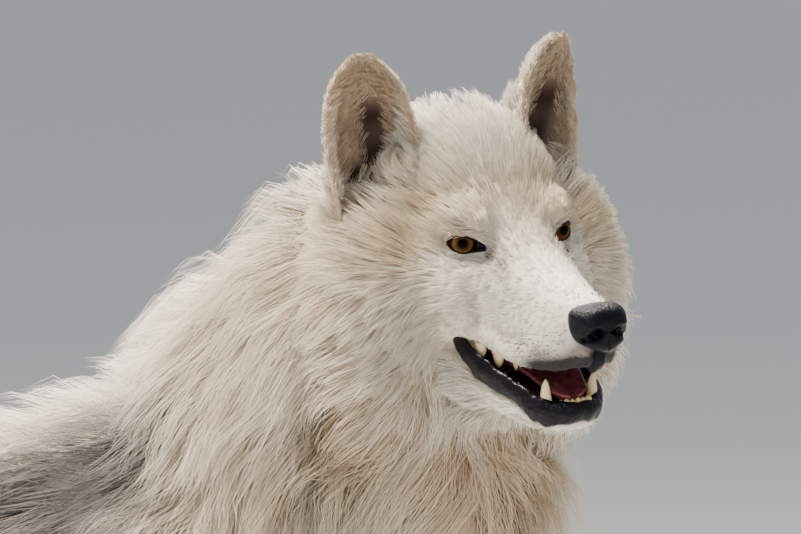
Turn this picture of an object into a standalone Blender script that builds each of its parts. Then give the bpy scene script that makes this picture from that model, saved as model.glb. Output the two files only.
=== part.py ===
"""A standing arctic wolf with its head turned to its right and its mouth a little open, at life size.

Each solid holds the outline of the coat. The flesh is built from lofted forms (trunk, neck, skull,
limbs), melted into one body, and parted with thin cuts where a person names the parts.
Metres, +Z up, the wolf faces +X and its left side is +Y.
"""

import math

import bmesh
import bpy
from mathutils import Matrix, Vector

# Driving dimensions, in metres.
GAP = 0.0003  # between solids that touch
CORNER = 1.7  # a corner moves so much further than its faces
FORWARD = Vector((1, 0, 0))
BODY_CELL = 0.0085  # size of the grid on which the body's forms are melted together
HEAD_CELL = 0.0042  # the same for the head
BODY_TRIANGLES = 2800
HEAD_TRIANGLES = 1950
JAW_TRIANGLES = 300
NOSE_TRIANGLES = 170
TONGUE_TRIANGLES = 180
SECTION_SIDES = 28
SHARP_EDGE = math.radians(50)
ROUNDNESS = 2.25  # power of a section's superellipse: 2 is an ellipse

# The head's own frame: origin midway between the eyes, +X to the nose, +Y to the wolf's left.
HEAD_PLACE = Vector((0.462, -0.124, 0.900))
HEAD_YAW = math.radians(-29.6)  # turned to the wolf's right
HEAD_PITCH = math.radians(8.8)  # nose down
HEAD_ROLL = math.radians(4.7)  # left side up
HEAD = (
    Matrix.Translation(HEAD_PLACE)
    @ Matrix.Rotation(HEAD_YAW, 4, "Z")
    @ Matrix.Rotation(HEAD_PITCH, 4, "Y")
    @ Matrix.Rotation(HEAD_ROLL, 4, "X")
)
CM = 0.01  # the head is drawn in centimetres

EYE_RADIUS = 1.2 * CM
EYE_PLACE = Vector((-0.75, 3.85, -0.1)) * CM
NOSE_PLACE = Vector((13.0, 0.0, -3.95)) * CM
EAR_LENGTH = 10.4 * CM
EAR_WALL = 0.75 * CM

SIDES = {"left": 1, "right": -1}

# Colours (red, green, blue), roughness.
FUR = ((0.80, 0.75, 0.68), 0.9)
EAR_FUR = ((0.72, 0.60, 0.48), 0.9)
BLACK_SKIN = ((0.02, 0.02, 0.023), 0.35)
IRIS = ((0.42, 0.20, 0.05), 0.1)
TONGUE = ((0.55, 0.16, 0.17), 0.4)
CLAW = ((0.10, 0.085, 0.07), 0.4)


def clear_scene():
    for obj in list(bpy.data.objects):
        bpy.data.objects.remove(obj)


def material(name, finish):
    made = bpy.data.materials.get(name) or bpy.data.materials.new(name)
    made.use_nodes = True
    shader = made.node_tree.nodes["Principled BSDF"]
    shader.inputs["Base Color"].default_value = (*finish[0], 1.0)
    shader.inputs["Roughness"].default_value = finish[1]
    shader.inputs["Metallic"].default_value = 0.0
    return made


# ---------------------------------------------------------------- lofts


def eased(rows, between):
    """The rows with `between` more in each gap, on a Catmull-Rom curve through them."""
    made = []
    for i in range(len(rows) - 1):
        four = [rows[max(0, min(len(rows) - 1, i + k))] for k in (-1, 0, 1, 2)]
        for step in range(between + 1):
            t = step / (between + 1)
            weights = (
                (-t + 2 * t**2 - t**3) / 2,
                (2 - 5 * t**2 + 3 * t**3) / 2,
                (t + 4 * t**2 - 3 * t**3) / 2,
                (t**3 - t**2) / 2,
            )
            made.append([sum(w * row[k] for w, row in zip(weights, four)) for k in range(len(rows[0]))])
    made.append(list(rows[-1]))
    return made


def power_of(value, power):
    return math.copysign(abs(value) ** power, value)


def section(centre, across, up, half_width, rise, drop, roundness=ROUNDNESS):
    """One closed ring of points: an oval that may reach further up (rise) than down (drop)."""
    ring = []
    for k in range(SECTION_SIDES):
        angle = 2 * math.pi * k / SECTION_SIDES
        sideways = power_of(math.cos(angle), 2 / roundness)
        upwards = power_of(math.sin(angle), 2 / roundness)
        height = rise if upwards > 0 else drop
        ring.append(centre + across * (half_width * sideways) + up * (height * upwards))
    return ring


def loft(name, rings, place=Matrix.Identity(4)):
    """A closed tube through the rings, with a fan of triangles on each end."""
    shape = bmesh.new()
    loops = [[shape.verts.new(place @ point) for point in ring] for ring in rings]
    for first, second in zip(loops, loops[1:]):
        for k in range(SECTION_SIDES):
            after = (k + 1) % SECTION_SIDES
            shape.faces.new((first[k], first[after], second[after], second[k]))
    for loop in (loops[0], loops[-1]):
        middle = shape.verts.new(sum((v.co for v in loop), Vector()) / len(loop))
        for k in range(SECTION_SIDES):
            shape.faces.new((loop[k], loop[(k + 1) % SECTION_SIDES], middle))
    return finished(name, shape)


def finished(name, shape):
    """The bmesh as an object in the scene, with its faces pointing out."""
    bmesh.ops.recalc_face_normals(shape, faces=shape.faces)
    mesh = bpy.data.meshes.new(name)
    shape.to_mesh(mesh)
    shape.free()
    obj = bpy.data.objects.new(name, mesh)
    bpy.context.scene.collection.objects.link(obj)
    return obj


def tube_along(name, rows, place=Matrix.Identity(4), roundness=ROUNDNESS, between=3, upward=Vector((0, 0, 1))):
    """A loft square to its own path. A row is (x, y, z, half width, rise, drop)."""
    rows = eased(rows, between)
    centres = [Vector(row[:3]) for row in rows]
    rings = []
    for k, row in enumerate(rows):
        forward = (centres[min(k + 1, len(rows) - 1)] - centres[max(k - 1, 0)]).normalized()
        across = upward.cross(forward).normalized()
        rings.append(section(centres[k], across, forward.cross(across), *row[3:6], roundness))
    return loft(name, rings, place)


def slices_along_x(name, rows, place=Matrix.Identity(4), scale=1.0, roundness=ROUNDNESS, waist=0.45):
    """A loft of upright slices. A row is (x, top, bottom, half width); waist is the share of the
    height at which the slice is widest."""
    rings = []
    for x, top, bottom, half_width in eased(rows, 3):
        middle = bottom + (top - bottom) * waist
        centre = Vector((x, 0, middle)) * scale
        sizes = (half_width * scale, (top - middle) * scale, (middle - bottom) * scale)
        rings.append(section(centre, Vector((0, 1, 0)), Vector((0, 0, 1)), *sizes, roundness))
    return loft(name, rings, place)


def ball(name, centre, radii, place=Matrix.Identity(4), segments=20, rings=12):
    shape = bmesh.new()
    bmesh.ops.create_uvsphere(shape, u_segments=segments, v_segments=rings, radius=1.0)
    spread = Matrix.Diagonal((*radii, 1.0))
    bmesh.ops.transform(shape, matrix=place @ Matrix.Translation(centre) @ spread, verts=shape.verts)
    return finished(name, shape)


def spike(name, base, tip, radius, sides=8):
    """A cone with a rounded, closed tip: a tooth or a claw."""
    axis = (tip - base).normalized()
    across = axis.orthogonal().normalized()
    up = axis.cross(across)
    shape = bmesh.new()
    loops = []
    for share, width in ((0.0, 1.0), (0.5, 0.8), (0.9, 0.3)):
        centre = base.lerp(tip, share)
        loop = []
        for k in range(sides):
            angle = 2 * math.pi * k / sides
            spoke = across * math.cos(angle) + up * math.sin(angle)
            loop.append(shape.verts.new(centre + spoke * radius * width))
        loops.append(loop)
    for first, second in zip(loops, loops[1:]):
        for k in range(sides):
            shape.faces.new((first[k], first[(k + 1) % sides], second[(k + 1) % sides], second[k]))
    shape.faces.new(loops[0])
    point = shape.verts.new(tip)
    for k in range(sides):
        shape.faces.new((loops[-1][k], loops[-1][(k + 1) % sides], point))
    return finished(name, shape)


# ---------------------------------------------------------------- joining and cutting


def settled(obj):
    """The object with its modifiers made real."""
    graph = bpy.context.evaluated_depsgraph_get()
    mesh = bpy.data.meshes.new_from_object(obj.evaluated_get(graph))
    obj.modifiers.clear()
    obj.data = mesh
    return obj


def joined(name, forms):
    """All the forms' faces in one object."""
    shape = bmesh.new()
    for form in forms:
        shape.from_mesh(form.data)
        bpy.data.objects.remove(form)
    mesh = bpy.data.meshes.new(name)
    shape.to_mesh(mesh)
    shape.free()
    obj = bpy.data.objects.new(name, mesh)
    bpy.context.scene.collection.objects.link(obj)
    return obj


def melted(name, forms, cell, smoothing, triangles):
    """The forms as one skin: remeshed on a grid, smoothed, then thinned to so many triangles."""
    obj = joined(name, forms)
    remesh = obj.modifiers.new("melt", "REMESH")
    remesh.mode = "VOXEL"
    remesh.voxel_size = cell
    smooth = obj.modifiers.new("smooth", "SMOOTH")
    smooth.factor = 0.5
    smooth.iterations = smoothing
    return thinned(settled(obj), triangles)


def grown(obj, by=GAP):
    """A hidden copy that stands out from the object by the gap, for cutting its neighbours."""
    copy = bpy.data.objects.new(obj.name + ".cutter", obj.data.copy())
    bpy.context.scene.collection.objects.link(copy)
    swell = copy.modifiers.new("swell", "DISPLACE")
    swell.strength = by
    swell.mid_level = 0.0
    copy.hide_render = True
    copy.display_type = "WIRE"
    return settled(copy)


def thinned(obj, triangles):
    """The object with its flatter faces merged until so many triangles are left."""
    faces_now = sum(len(face.vertices) - 2 for face in obj.data.polygons)
    thin = obj.modifiers.new("thin", "DECIMATE")
    thin.ratio = min(1.0, triangles / faces_now)
    return settled(obj)


def boolean(obj, other, operation):
    change = obj.modifiers.new(operation.lower(), "BOOLEAN")
    change.operation = operation
    change.solver = "EXACT"
    change.object = other
    return settled(obj)


def cut_clear_of(obj, neighbour):
    """Cuts the neighbour's room out of the object, with the gap between them."""
    cutter = grown(neighbour)
    boolean(obj, cutter, "DIFFERENCE")
    bpy.data.objects.remove(cutter)
    return obj


def half_of(obj, name, point, normal):
    """A new object: the part of obj on the side that normal points to, with a flat cap."""
    shape = bmesh.new()
    shape.from_mesh(obj.data)
    everything = shape.verts[:] + shape.edges[:] + shape.faces[:]
    done = bmesh.ops.bisect_plane(
        shape, geom=everything, plane_co=point, plane_no=normal, clear_inner=True, dist=1e-7
    )
    rim = [item for item in done["geom_cut"] if isinstance(item, bmesh.types.BMEdge)]
    caps = bmesh.ops.edgeloop_fill(shape, edges=rim)["faces"]
    bmesh.ops.triangulate(shape, faces=caps)
    return finished(name, shape)


def parted(obj, near_name, far_name, point, normal):
    """Cuts the object by a plane into (near, far), with half the gap on each side; far is where
    the normal points."""
    normal = Vector(normal).normalized()
    point = Vector(point)
    far = half_of(obj, far_name, point + normal * GAP / 2, normal)
    near = half_of(obj, near_name, point - normal * GAP / 2, -normal)
    bpy.data.objects.remove(obj)
    return near, far


def zone(name, inner, outer, inner_y, outer_y):
    """A cutter between two upright outlines, each a loop of (x, z)."""
    shape = bmesh.new()
    first = [shape.verts.new((x, inner_y, z)) for x, z in inner]
    second = [shape.verts.new((x, outer_y, z)) for x, z in outer]
    for k in range(len(first)):
        after = (k + 1) % len(first)
        shape.faces.new((first[k], first[after], second[after], second[k]))
    shape.faces.new(first)
    shape.faces.new(second)
    bmesh.ops.triangulate(shape, faces=shape.faces)
    cutter = finished(name, shape)
    cutter.hide_render = True
    cutter.display_type = "WIRE"
    return cutter


def carved(obj, name, box):
    """A new object: what the box holds of obj. The box and the gap round it leave obj."""
    piece = bpy.data.objects.new(name, obj.data.copy())
    bpy.context.scene.collection.objects.link(piece)
    boolean(piece, box, "INTERSECT")
    room = grown(box, GAP * CORNER)
    boolean(obj, room, "DIFFERENCE")
    bpy.data.objects.remove(room)
    bpy.data.objects.remove(box)
    return piece


# ---------------------------------------------------------------- the body's forms


def trunk_form():
    """Chest to rump: high at the withers, falling to a level back over a tucked belly."""
    rows = (
        # x, top, bottom, half width
        (0.335, 0.655, 0.520, 0.060),
        (0.300, 0.710, 0.465, 0.115),
        (0.240, 0.775, 0.424, 0.145),
        (0.150, 0.806, 0.397, 0.160),
        (0.050, 0.788, 0.390, 0.166),
        (-0.040, 0.753, 0.392, 0.168),
        (-0.110, 0.728, 0.398, 0.167),
        (-0.220, 0.720, 0.422, 0.153),
        (-0.340, 0.717, 0.452, 0.138),
        (-0.440, 0.694, 0.487, 0.118),
        (-0.500, 0.655, 0.526, 0.082),
        (-0.532, 0.616, 0.556, 0.040),
    )
    return slices_along_x("trunk_form", rows, waist=0.48)


def neck_form():
    """The neck in its mane, from between the shoulders up into the back of the skull."""
    rows = (
        # x, y, z, half width, towards the nape, towards the throat
        (0.105, 0.000, 0.600, 0.130, 0.150, 0.165),
        (0.165, -0.004, 0.690, 0.140, 0.150, 0.185),
        (0.232, -0.024, 0.765, 0.144, 0.127, 0.200),
        (0.298, -0.054, 0.828, 0.140, 0.106, 0.195),
        (0.342, -0.078, 0.872, 0.122, 0.096, 0.160),
        (0.372, -0.091, 0.900, 0.092, 0.078, 0.110),
    )
    return tube_along("neck_form", rows)


def bib_form():
    """The mane's long fur on the chest."""
    return ball("bib_form", Vector((0.303, -0.012, 0.685)), (0.134, 0.136, 0.160), segments=28, rings=18)


def shoulder_form(side):
    """The blade and the upper arm under the coat."""
    return ball("shoulder_form", Vector((0.115, side * 0.105, 0.620)), (0.105, 0.062, 0.135))


def tail_form():
    """The brush hangs straight down behind the hocks."""
    rows = (
        # x, y, z, half width, front, back
        (-0.485, 0.000, 0.655, 0.036, 0.036, 0.036),
        (-0.552, 0.000, 0.600, 0.050, 0.046, 0.050),
        (-0.602, 0.003, 0.500, 0.062, 0.058, 0.062),
        (-0.620, 0.008, 0.400, 0.067, 0.063, 0.066),
        (-0.618, 0.013, 0.310, 0.056, 0.052, 0.054),
        (-0.606, 0.015, 0.250, 0.034, 0.032, 0.034),
        (-0.598, 0.015, 0.215, 0.012, 0.012, 0.012),
    )
    return tube_along("tail_form", rows, upward=FORWARD)


def foreleg_forms(side, step):
    """Shoulder, forearm, wrist and a broad paw. step moves the paw forward."""
    y = side * 0.080
    leg = (
        # x, y, z, half width, front, back
        (0.165, side * 0.085, 0.610, 0.062, 0.100, 0.100),
        (0.150, side * 0.087, 0.520, 0.056, 0.085, 0.085),
        (0.140, side * 0.086, 0.440, 0.049, 0.066, 0.070),
        (0.155 + step * 0.3, side * 0.083, 0.360, 0.040, 0.050, 0.052),
        (0.166 + step * 0.5, y, 0.280, 0.033, 0.039, 0.040),
        (0.173 + step * 0.7, y, 0.205, 0.029, 0.032, 0.032),
        (0.178 + step * 0.8, y, 0.160, 0.031, 0.034, 0.033),
        (0.184 + step * 0.9, y, 0.110, 0.028, 0.029, 0.029),
        (0.196 + step, y, 0.060, 0.034, 0.036, 0.034),
        (0.212 + step, y, 0.028, 0.042, 0.050, 0.040),
        (0.214 + step, y, -0.014, 0.040, 0.046, 0.036),
    )
    forms = [tube_along("foreleg_form", leg, upward=FORWARD)]
    forms += toe_forms(fore_toes(side, step))
    return forms


def hindleg_forms(side, step):
    """Thigh, knee, shank, hock and paw. step moves the lower leg forward."""
    y = side * 0.082
    leg = (
        (-0.385, side * 0.070, 0.625, 0.062, 0.125, 0.115),
        (-0.350, side * 0.082, 0.520, 0.058, 0.110, 0.105),
        (-0.315 + step * 0.3, side * 0.089, 0.430, 0.050, 0.078, 0.082),
        (-0.352 + step * 0.5, side * 0.087, 0.335, 0.039, 0.052, 0.052),
        (-0.415 + step * 0.8, side * 0.084, 0.258, 0.029, 0.036, 0.036),
        (-0.458 + step, y, 0.205, 0.028, 0.031, 0.034),
        (-0.452 + step, y, 0.150, 0.026, 0.028, 0.029),
        (-0.441 + step, y, 0.100, 0.027, 0.028, 0.028),
        (-0.430 + step, y, 0.058, 0.033, 0.034, 0.034),
        (-0.416 + step, y, 0.028, 0.040, 0.048, 0.038),
        (-0.414 + step, y, -0.014, 0.038, 0.044, 0.034),
    )
    forms = [tube_along("hindleg_form", leg, upward=FORWARD)]
    forms += toe_forms(hind_toes(side, step))
    return forms


def fore_toes(side, step):
    return Vector((0.242 + step, side * 0.080, 0.018))


def hind_toes(side, step):
    return Vector((-0.389 + step, side * 0.082, 0.018))


TOE_SPOTS = (
    # forward of the toes' middle, to the side of it
    (0.004, -0.032),
    (0.022, -0.0115),
    (0.022, 0.0115),
    (0.004, 0.032),
)
TOE_RADII = (0.026, 0.0145, 0.021)


def toe_forms(middle):
    """Four toes fanned over the front of a paw."""
    spots = [middle + Vector((*spot, 0.0)) for spot in TOE_SPOTS]
    return [ball("toe_form", spot, TOE_RADII, segments=14, rings=8) for spot in spots]


def ruff_form(name, side):
    """The cheek's ruff, which flares out behind the jaw, in the head's frame."""
    centre = Vector((-7.0, side * 7.0, -5.4)) * CM
    radii = Vector((5.8, 6.9, 9.2)) * CM
    return ball(name, centre, radii, HEAD)


# ---------------------------------------------------------------- the head's forms


def skull_form():
    """Brow, stop and muzzle down to the edge of the upper lip."""
    rows = (
        # x, top, bottom, half width, in centimetres
        (-15.5, 5.2, -5.0, 4.8),
        (-13.0, 7.9, -7.5, 6.8),
        (-10.0, 9.3, -9.2, 8.0),
        (-7.0, 9.1, -10.2, 8.3),
        (-4.0, 7.5, -10.2, 7.6),
        (-1.6, 5.0, -9.2, 6.6),
        (0.4, 2.6, -8.3, 5.5),
        (2.4, 0.8, -8.0, 4.5),
        (4.5, -0.3, -7.9, 3.75),
        (7.0, -1.0, -7.8, 3.25),
        (9.5, -1.6, -7.7, 3.0),
        (11.4, -2.0, -7.4, 2.6),
        (12.7, -2.6, -6.9, 1.9),
        (13.1, -3.3, -6.2, 1.2),
    )
    return slices_along_x("skull_form", rows, HEAD, CM, 2.2, 0.36)


def brow_form(side):
    return ball("brow_form", Vector((-1.3, side * 3.3, 1.75)) * CM, Vector((2.9, 1.8, 1.25)) * CM, HEAD)


def cheek_form(side):
    return ball("cheek_form", Vector((-3.2, side * 5.3, -4.2)) * CM, Vector((5.6, 2.8, 4.8)) * CM, HEAD)


def throat_form():
    """The fur below the jaw's hinge and the throat, in the head's frame."""
    return ball("throat_form", Vector((-6.2, 0.0, -11.0)) * CM, Vector((7.2, 11.4, 8.2)) * CM, HEAD)


def jaw_form():
    """The lower jaw, dropped open, from behind the mouth's corner to the chin."""
    rows = (
        (-5.0, -6.6, -12.4, 5.4),
        (-2.5, -7.2, -12.6, 5.0),
        (0.0, -7.7, -12.6, 4.6),
        (2.0, -8.3, -12.6, 4.1),
        (4.0, -9.0, -12.7, 3.6),
        (6.0, -9.6, -12.8, 3.1),
        (8.0, -10.3, -13.0, 2.6),
        (9.4, -10.7, -12.9, 2.1),
        (10.2, -11.2, -12.6, 1.3),
    )
    return slices_along_x("jaw_form", rows, HEAD, CM, 2.6, 0.55)


def tongue():
    rows = (
        # x, y, z, half width, rise, drop
        (-3.0, 0.0, -8.2, 1.7, 0.55, 0.7),
        (0.0, 0.0, -8.5, 2.1, 0.60, 0.8),
        (3.0, 0.0, -9.0, 2.1, 0.55, 0.8),
        (6.0, 0.0, -9.75, 1.9, 0.50, 0.7),
        (8.0, 0.0, -10.2, 1.45, 0.42, 0.5),
        (8.7, 0.0, -10.35, 0.7, 0.25, 0.3),
    )
    rows = [tuple(value * CM for value in row) for row in rows]
    return thinned(tube_along("tongue", rows, HEAD, 2.4, 1), TONGUE_TRIANGLES)


def nose():
    """The bare nose pad, with two nostrils cut in and a groove between them."""
    rows = (
        # x, top, bottom, half width, in centimetres
        (11.6, -2.5, -5.6, 1.1),
        (12.2, -2.15, -5.9, 1.7),
        (13.0, -2.1, -6.0, 1.95),
        (13.8, -2.45, -5.7, 1.75),
        (14.3, -3.1, -5.1, 1.15),
    )
    pad = thinned(slices_along_x("nose", rows, HEAD, CM, 2.3, 0.62), NOSE_TRIANGLES)
    for side in SIDES.values():
        hole = ball("nostril", Vector((14.1, side * 0.82, -4.0)) * CM, Vector((0.75, 0.42, 0.5)) * CM, HEAD, 8, 5)
        boolean(pad, hole, "DIFFERENCE")
        bpy.data.objects.remove(hole)
    return pad


def eye(side_name):
    centre = Vector((EYE_PLACE.x, SIDES[side_name] * EYE_PLACE.y, EYE_PLACE.z))
    radii = Vector((1, 1, 1)) * EYE_RADIUS
    return ball("eye_" + side_name, centre, radii, HEAD, 12, 7)


def eye_opening(side):
    """An almond between the lids, its inner corner lower and further forward."""
    long, out, tall = 1.75 * CM, 1.6 * CM, 0.62 * CM
    centre = Vector((0.30, side * 4.45, -0.08)) * CM
    along = Matrix.Rotation(math.radians(side * -44), 4, "Z") @ Matrix.Rotation(math.radians(13), 4, "Y")
    place = HEAD @ Matrix.Translation(centre) @ along
    return ball("eye_opening", Vector(), (long, out, tall), place, 16, 10)


def ear(side_name):
    """An upright cup: each level is an arc open to the front, and the arcs narrow to a round tip."""
    side = SIDES[side_name]
    levels, steps = 8, 8
    outer, inner = [], []
    for i in range(levels):
        height = i / (levels - 1)
        half_width = 3.75 * CM * (1 - height**2.8) ** 0.6 * (0.88 + 0.22 * height) + 0.3 * CM
        bend = math.radians(118 - 58 * height)  # half the arc's opening
        depth = half_width * (1.05 - 0.55 * height)
        for surface, inset in ((outer, 0.0), (inner, EAR_WALL)):
            line = []
            for j in range(steps + 1):
                angle = bend * (2 * j / steps - 1)
                reach = 1 - inset / (half_width + inset)
                y = math.sin(angle) / math.sin(min(bend, math.pi / 2)) * half_width * reach
                x = -math.cos(angle) * depth * reach + depth * math.cos(bend) * 0.2
                line.append(Vector((x, y, height * (EAR_LENGTH - inset * 0.6 * height))))
            surface.append(line)
    shape = bmesh.new()
    place = HEAD @ ear_place(side)
    outer = [[shape.verts.new(place @ point) for point in line] for line in outer]
    inner = [[shape.verts.new(place @ point) for point in line] for line in inner]
    for i in range(levels - 1):
        for j in range(steps):
            shape.faces.new((outer[i][j], outer[i][j + 1], outer[i + 1][j + 1], outer[i + 1][j]))
            shape.faces.new((inner[i][j], inner[i + 1][j], inner[i + 1][j + 1], inner[i][j + 1]))
        for j in (0, steps):
            shape.faces.new((outer[i][j], outer[i + 1][j], inner[i + 1][j], inner[i][j]))
    for i in (0, levels - 1):
        for j in range(steps):
            shape.faces.new((outer[i][j], inner[i][j], inner[i][j + 1], outer[i][j + 1]))
    return finished("ear_" + side_name, shape)


def ear_place(side):
    """Where an ear's foot stands on the skull, which way it leans and which way it opens."""
    foot = Matrix.Translation(Vector((-7.2, side * 6.2, 2.4)) * CM)
    opens = Matrix.Rotation(math.radians(side * 22), 4, "Z")
    leans = Matrix.Rotation(math.radians(-side * 12), 4, "X")
    tips_back = Matrix.Rotation(math.radians(-6), 4, "Y")
    return foot @ leans @ tips_back @ opens


# ---------------------------------------------------------------- teeth and claws


def lower_teeth():
    """(base, tip, radius) in the head's frame, in centimetres: incisors, canines, cheek teeth."""
    teeth = []
    for k in range(6):
        across = (k - 2.5) * 0.46
        bow = 0.25 * (across / 1.2) ** 2
        teeth.append(((9.75 - bow, across, -11.3), (9.9 - bow, across, -10.35), 0.24))
    for side in SIDES.values():
        teeth.append(((8.75, side * 1.75, -11.1), (8.75, side * 1.95, -8.65), 0.46))
        for x, radius, height in ((6.6, 0.30, 0.6), (4.9, 0.4, 0.8)):
            base = -9.4 - x * 0.15
            teeth.append(((x, side * 2.3, base - 0.4), (x, side * 2.35, base + height), radius))
    return teeth


def upper_teeth():
    teeth = []
    for side in SIDES.values():
        for x, y, radius, drop in ((1.6, 3.35, 0.45, 8.45), (3.0, 3.1, 0.50, 8.75), (4.4, 2.85, 0.36, 8.35)):
            teeth.append(((x, side * y, -7.0), (x, side * y, -drop), radius))
    return teeth


def with_teeth(obj, teeth):
    """Joins each tooth to the solid that it grows from."""
    for base, tip, radius in teeth:
        root = HEAD @ (Vector(base) * CM)
        point = HEAD @ (Vector(tip) * CM)
        tooth = spike("tooth", root, point, radius * CM, 5)
        boolean(obj, tooth, "UNION")
        bpy.data.objects.remove(tooth)
    return obj


def claws(limb, middle):
    """A claw at the end of each of a paw's four toes, clear of the floor."""
    made = []
    for k, (forward, sideways) in enumerate(TOE_SPOTS):
        base = middle + Vector((forward + 0.018, sideways, 0.003))
        tip = middle + Vector((forward + 0.037, sideways, -0.011))
        made.append(spike(f"claw_{limb}_{k + 1}", base, tip, 0.0042, 5))
    return made


# ---------------------------------------------------------------- assembly

FORE_STEP = {"left": 0.020, "right": 0.0}  # the left forepaw stands a little ahead
HIND_STEP = {"left": -0.025, "right": 0.025}
HEAD_CUT = (HEAD @ (Vector((-10.5, 0.0, -4.0)) * CM), HEAD.to_3x3() @ Vector((0.865, 0.0, 0.502)))
NECK_CUT = (Vector((0.225, 0.0, 0.660)), Vector((0.87, -0.05, 0.49)))
JAW_CUT_X = -0.4 * CM


def build_head():
    forms = [skull_form(), throat_form(), jaw_root_form(), neck_form(), bib_form()]
    for side in SIDES.values():
        forms += [brow_form(side), cheek_form(side), ruff_form("ruff_form", side)]
    whole = melted("head_mass", forms, HEAD_CELL, 7, HEAD_TRIANGLES)
    head = half_of(whole, "head", HEAD_CUT[0] + HEAD_CUT[1] * GAP / 2, HEAD_CUT[1])
    bpy.data.objects.remove(whole)
    return head


def jaw_root_form():
    """What of the lower jaw lies behind the mouth's corner stays with the head."""
    whole = jaw_form()
    edge = HEAD @ Vector((JAW_CUT_X - GAP, 0, 0))
    root = half_of(whole, "jaw_root_form", edge, HEAD.to_3x3() @ Vector((-1, 0, 0)))
    bpy.data.objects.remove(whole)
    return root


def build_jaw():
    """The free part of the lower jaw, with its teeth."""
    whole = melted("jaw_mass", [jaw_form()], 0.0035, 3, JAW_TRIANGLES)
    edge = HEAD @ Vector((JAW_CUT_X, 0, 0))
    jaw = half_of(whole, "lower_jaw", edge, HEAD.to_3x3() @ Vector((1, 0, 0)))
    bpy.data.objects.remove(whole)
    return jaw


def build_body():
    """Trunk, neck, legs and tail as one skin, standing on the floor on flats."""
    forms = [trunk_form(), neck_form(), bib_form(), tail_form(), throat_form()]
    for side_name, side in SIDES.items():
        forms.append(shoulder_form(side))
        forms += foreleg_forms(side, FORE_STEP[side_name])
        forms += hindleg_forms(side, HIND_STEP[side_name])
        forms.append(ruff_form("ruff_form", side))
    whole = melted("body_mass", forms, BODY_CELL, 6, BODY_TRIANGLES)
    body = half_of(whole, "above_floor", Vector((0, 0, 0)), Vector((0, 0, 1)))
    bpy.data.objects.remove(whole)
    below_head = half_of(body, "below_head", HEAD_CUT[0] - HEAD_CUT[1] * GAP / 2, -HEAD_CUT[1])
    bpy.data.objects.remove(body)
    return below_head


def tail_zone():
    outline = ((-0.505, 0.700), (-0.530, 0.640), (-0.548, 0.560), (-0.548, 0.150), (-0.800, 0.150), (-0.800, 0.700))
    return zone("tail_zone", outline, outline, -0.13, 0.13)


def foreleg_zone(side):
    """From the elbow down: the cut rises outwards, a little below the chest."""
    inner = ((0.020, 0.362), (0.340, 0.362), (0.340, -0.050), (0.020, -0.050))
    outer = ((0.020, 0.452), (0.340, 0.452), (0.340, -0.050), (0.020, -0.050))
    return zone("foreleg_zone", inner, outer, side * 0.003, side * 0.200)


def hindleg_zone(side):
    """The thigh's outer side and all of the leg below the belly."""
    inner = ((-0.180, 0.425), (-0.545, 0.425), (-0.545, -0.050), (-0.180, -0.050))
    outer = ((-0.255, 0.640), (-0.545, 0.640), (-0.545, -0.050), (-0.180, -0.050))
    return zone("hindleg_zone", inner, outer, side * 0.003, side * 0.200)


def part_body(body):
    """Parts the body into trunk, neck, tail, legs and paws."""
    trunk, neck = parted(body, "trunk", "neck", *NECK_CUT)
    pieces = [neck, carved(trunk, "tail", tail_zone())]
    for side_name, side in SIDES.items():
        for limb, cutter, x in (("fore", foreleg_zone(side), 0.20), ("hind", hindleg_zone(side), -0.43)):
            whole = carved(trunk, "whole_leg", cutter)
            names = (f"{limb}paw_{side_name}", f"{limb}leg_{side_name}")
            pieces += parted(whole, *names, (x, 0, 0.075), (-0.2, 0, 1))
    return [trunk, *pieces]


def paint(obj, name, finish):
    obj.data.materials.clear()
    obj.data.materials.append(material(name, finish))
    obj.data.shade_smooth()
    obj.data.set_sharp_from_angle(angle=SHARP_EDGE)


def centre_on_base(objects):
    """Moves the whole wolf so that the origin is the middle of its box, on the floor."""
    corners = [obj.matrix_world @ vertex.co for obj in objects for vertex in obj.data.vertices]
    middle = [(min(p[k] for p in corners) + max(p[k] for p in corners)) / 2 for k in (0, 1)]
    for obj in objects:
        obj.location = Vector((-middle[0], -middle[1], 0.0))


def main():
    clear_scene()
    head = build_head()
    jaw = build_jaw()
    tongue_solid = tongue()
    nose_solid = nose()
    with_teeth(head, upper_teeth())
    cut_clear_of(head, jaw)
    with_teeth(jaw, lower_teeth())
    cut_clear_of(jaw, tongue_solid)
    cut_clear_of(head, tongue_solid)
    cut_clear_of(head, nose_solid)
    body_parts = part_body(build_body())
    for obj in [head, jaw, *body_parts]:
        paint(obj, "coat", FUR)
    paint(tongue_solid, "tongue", TONGUE)
    paint(nose_solid, "nose", BLACK_SKIN)
    objects = [head, jaw, tongue_solid, nose_solid, *body_parts]
    for side_name, side in SIDES.items():
        opening = eye_opening(side)
        boolean(head, opening, "DIFFERENCE")
        bpy.data.objects.remove(opening)
        ball_of_eye = eye(side_name)
        cut_clear_of(head, ball_of_eye)
        paint(ball_of_eye, "iris", IRIS)
        shell = ear(side_name)
        cut_clear_of(shell, head)
        paint(shell, "ear", EAR_FUR)
        objects += [ball_of_eye, shell]
    objects += build_claws(body_parts)
    centre_on_base(objects)


def build_claws(body_parts):
    paws = {obj.name: obj for obj in body_parts}
    made = []
    for side_name, side in SIDES.items():
        fore = fore_toes(side, FORE_STEP[side_name])
        hind = hind_toes(side, HIND_STEP[side_name])
        for limb, middle in (("fore", fore), ("hind", hind)):
            for claw in claws(f"{limb}_{side_name}", middle):
                cut_clear_of(paws[f"{limb}paw_{side_name}"], claw)
                paint(claw, "claw", CLAW)
                made.append(claw)
    return made


main()
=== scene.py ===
"""The looks of the arctic wolf: one skin under a coat of mesh tufts, with eyes, nose, mouth and claws.

Lengths on the head are in centimetres in the head's own frame: origin midway between the eyes,
+X to the nose, +Y to the wolf's left. Lengths on the body are in metres, in the design's frame,
which is the row's frame before the wolf was centred on its box.
"""

import math

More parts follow.
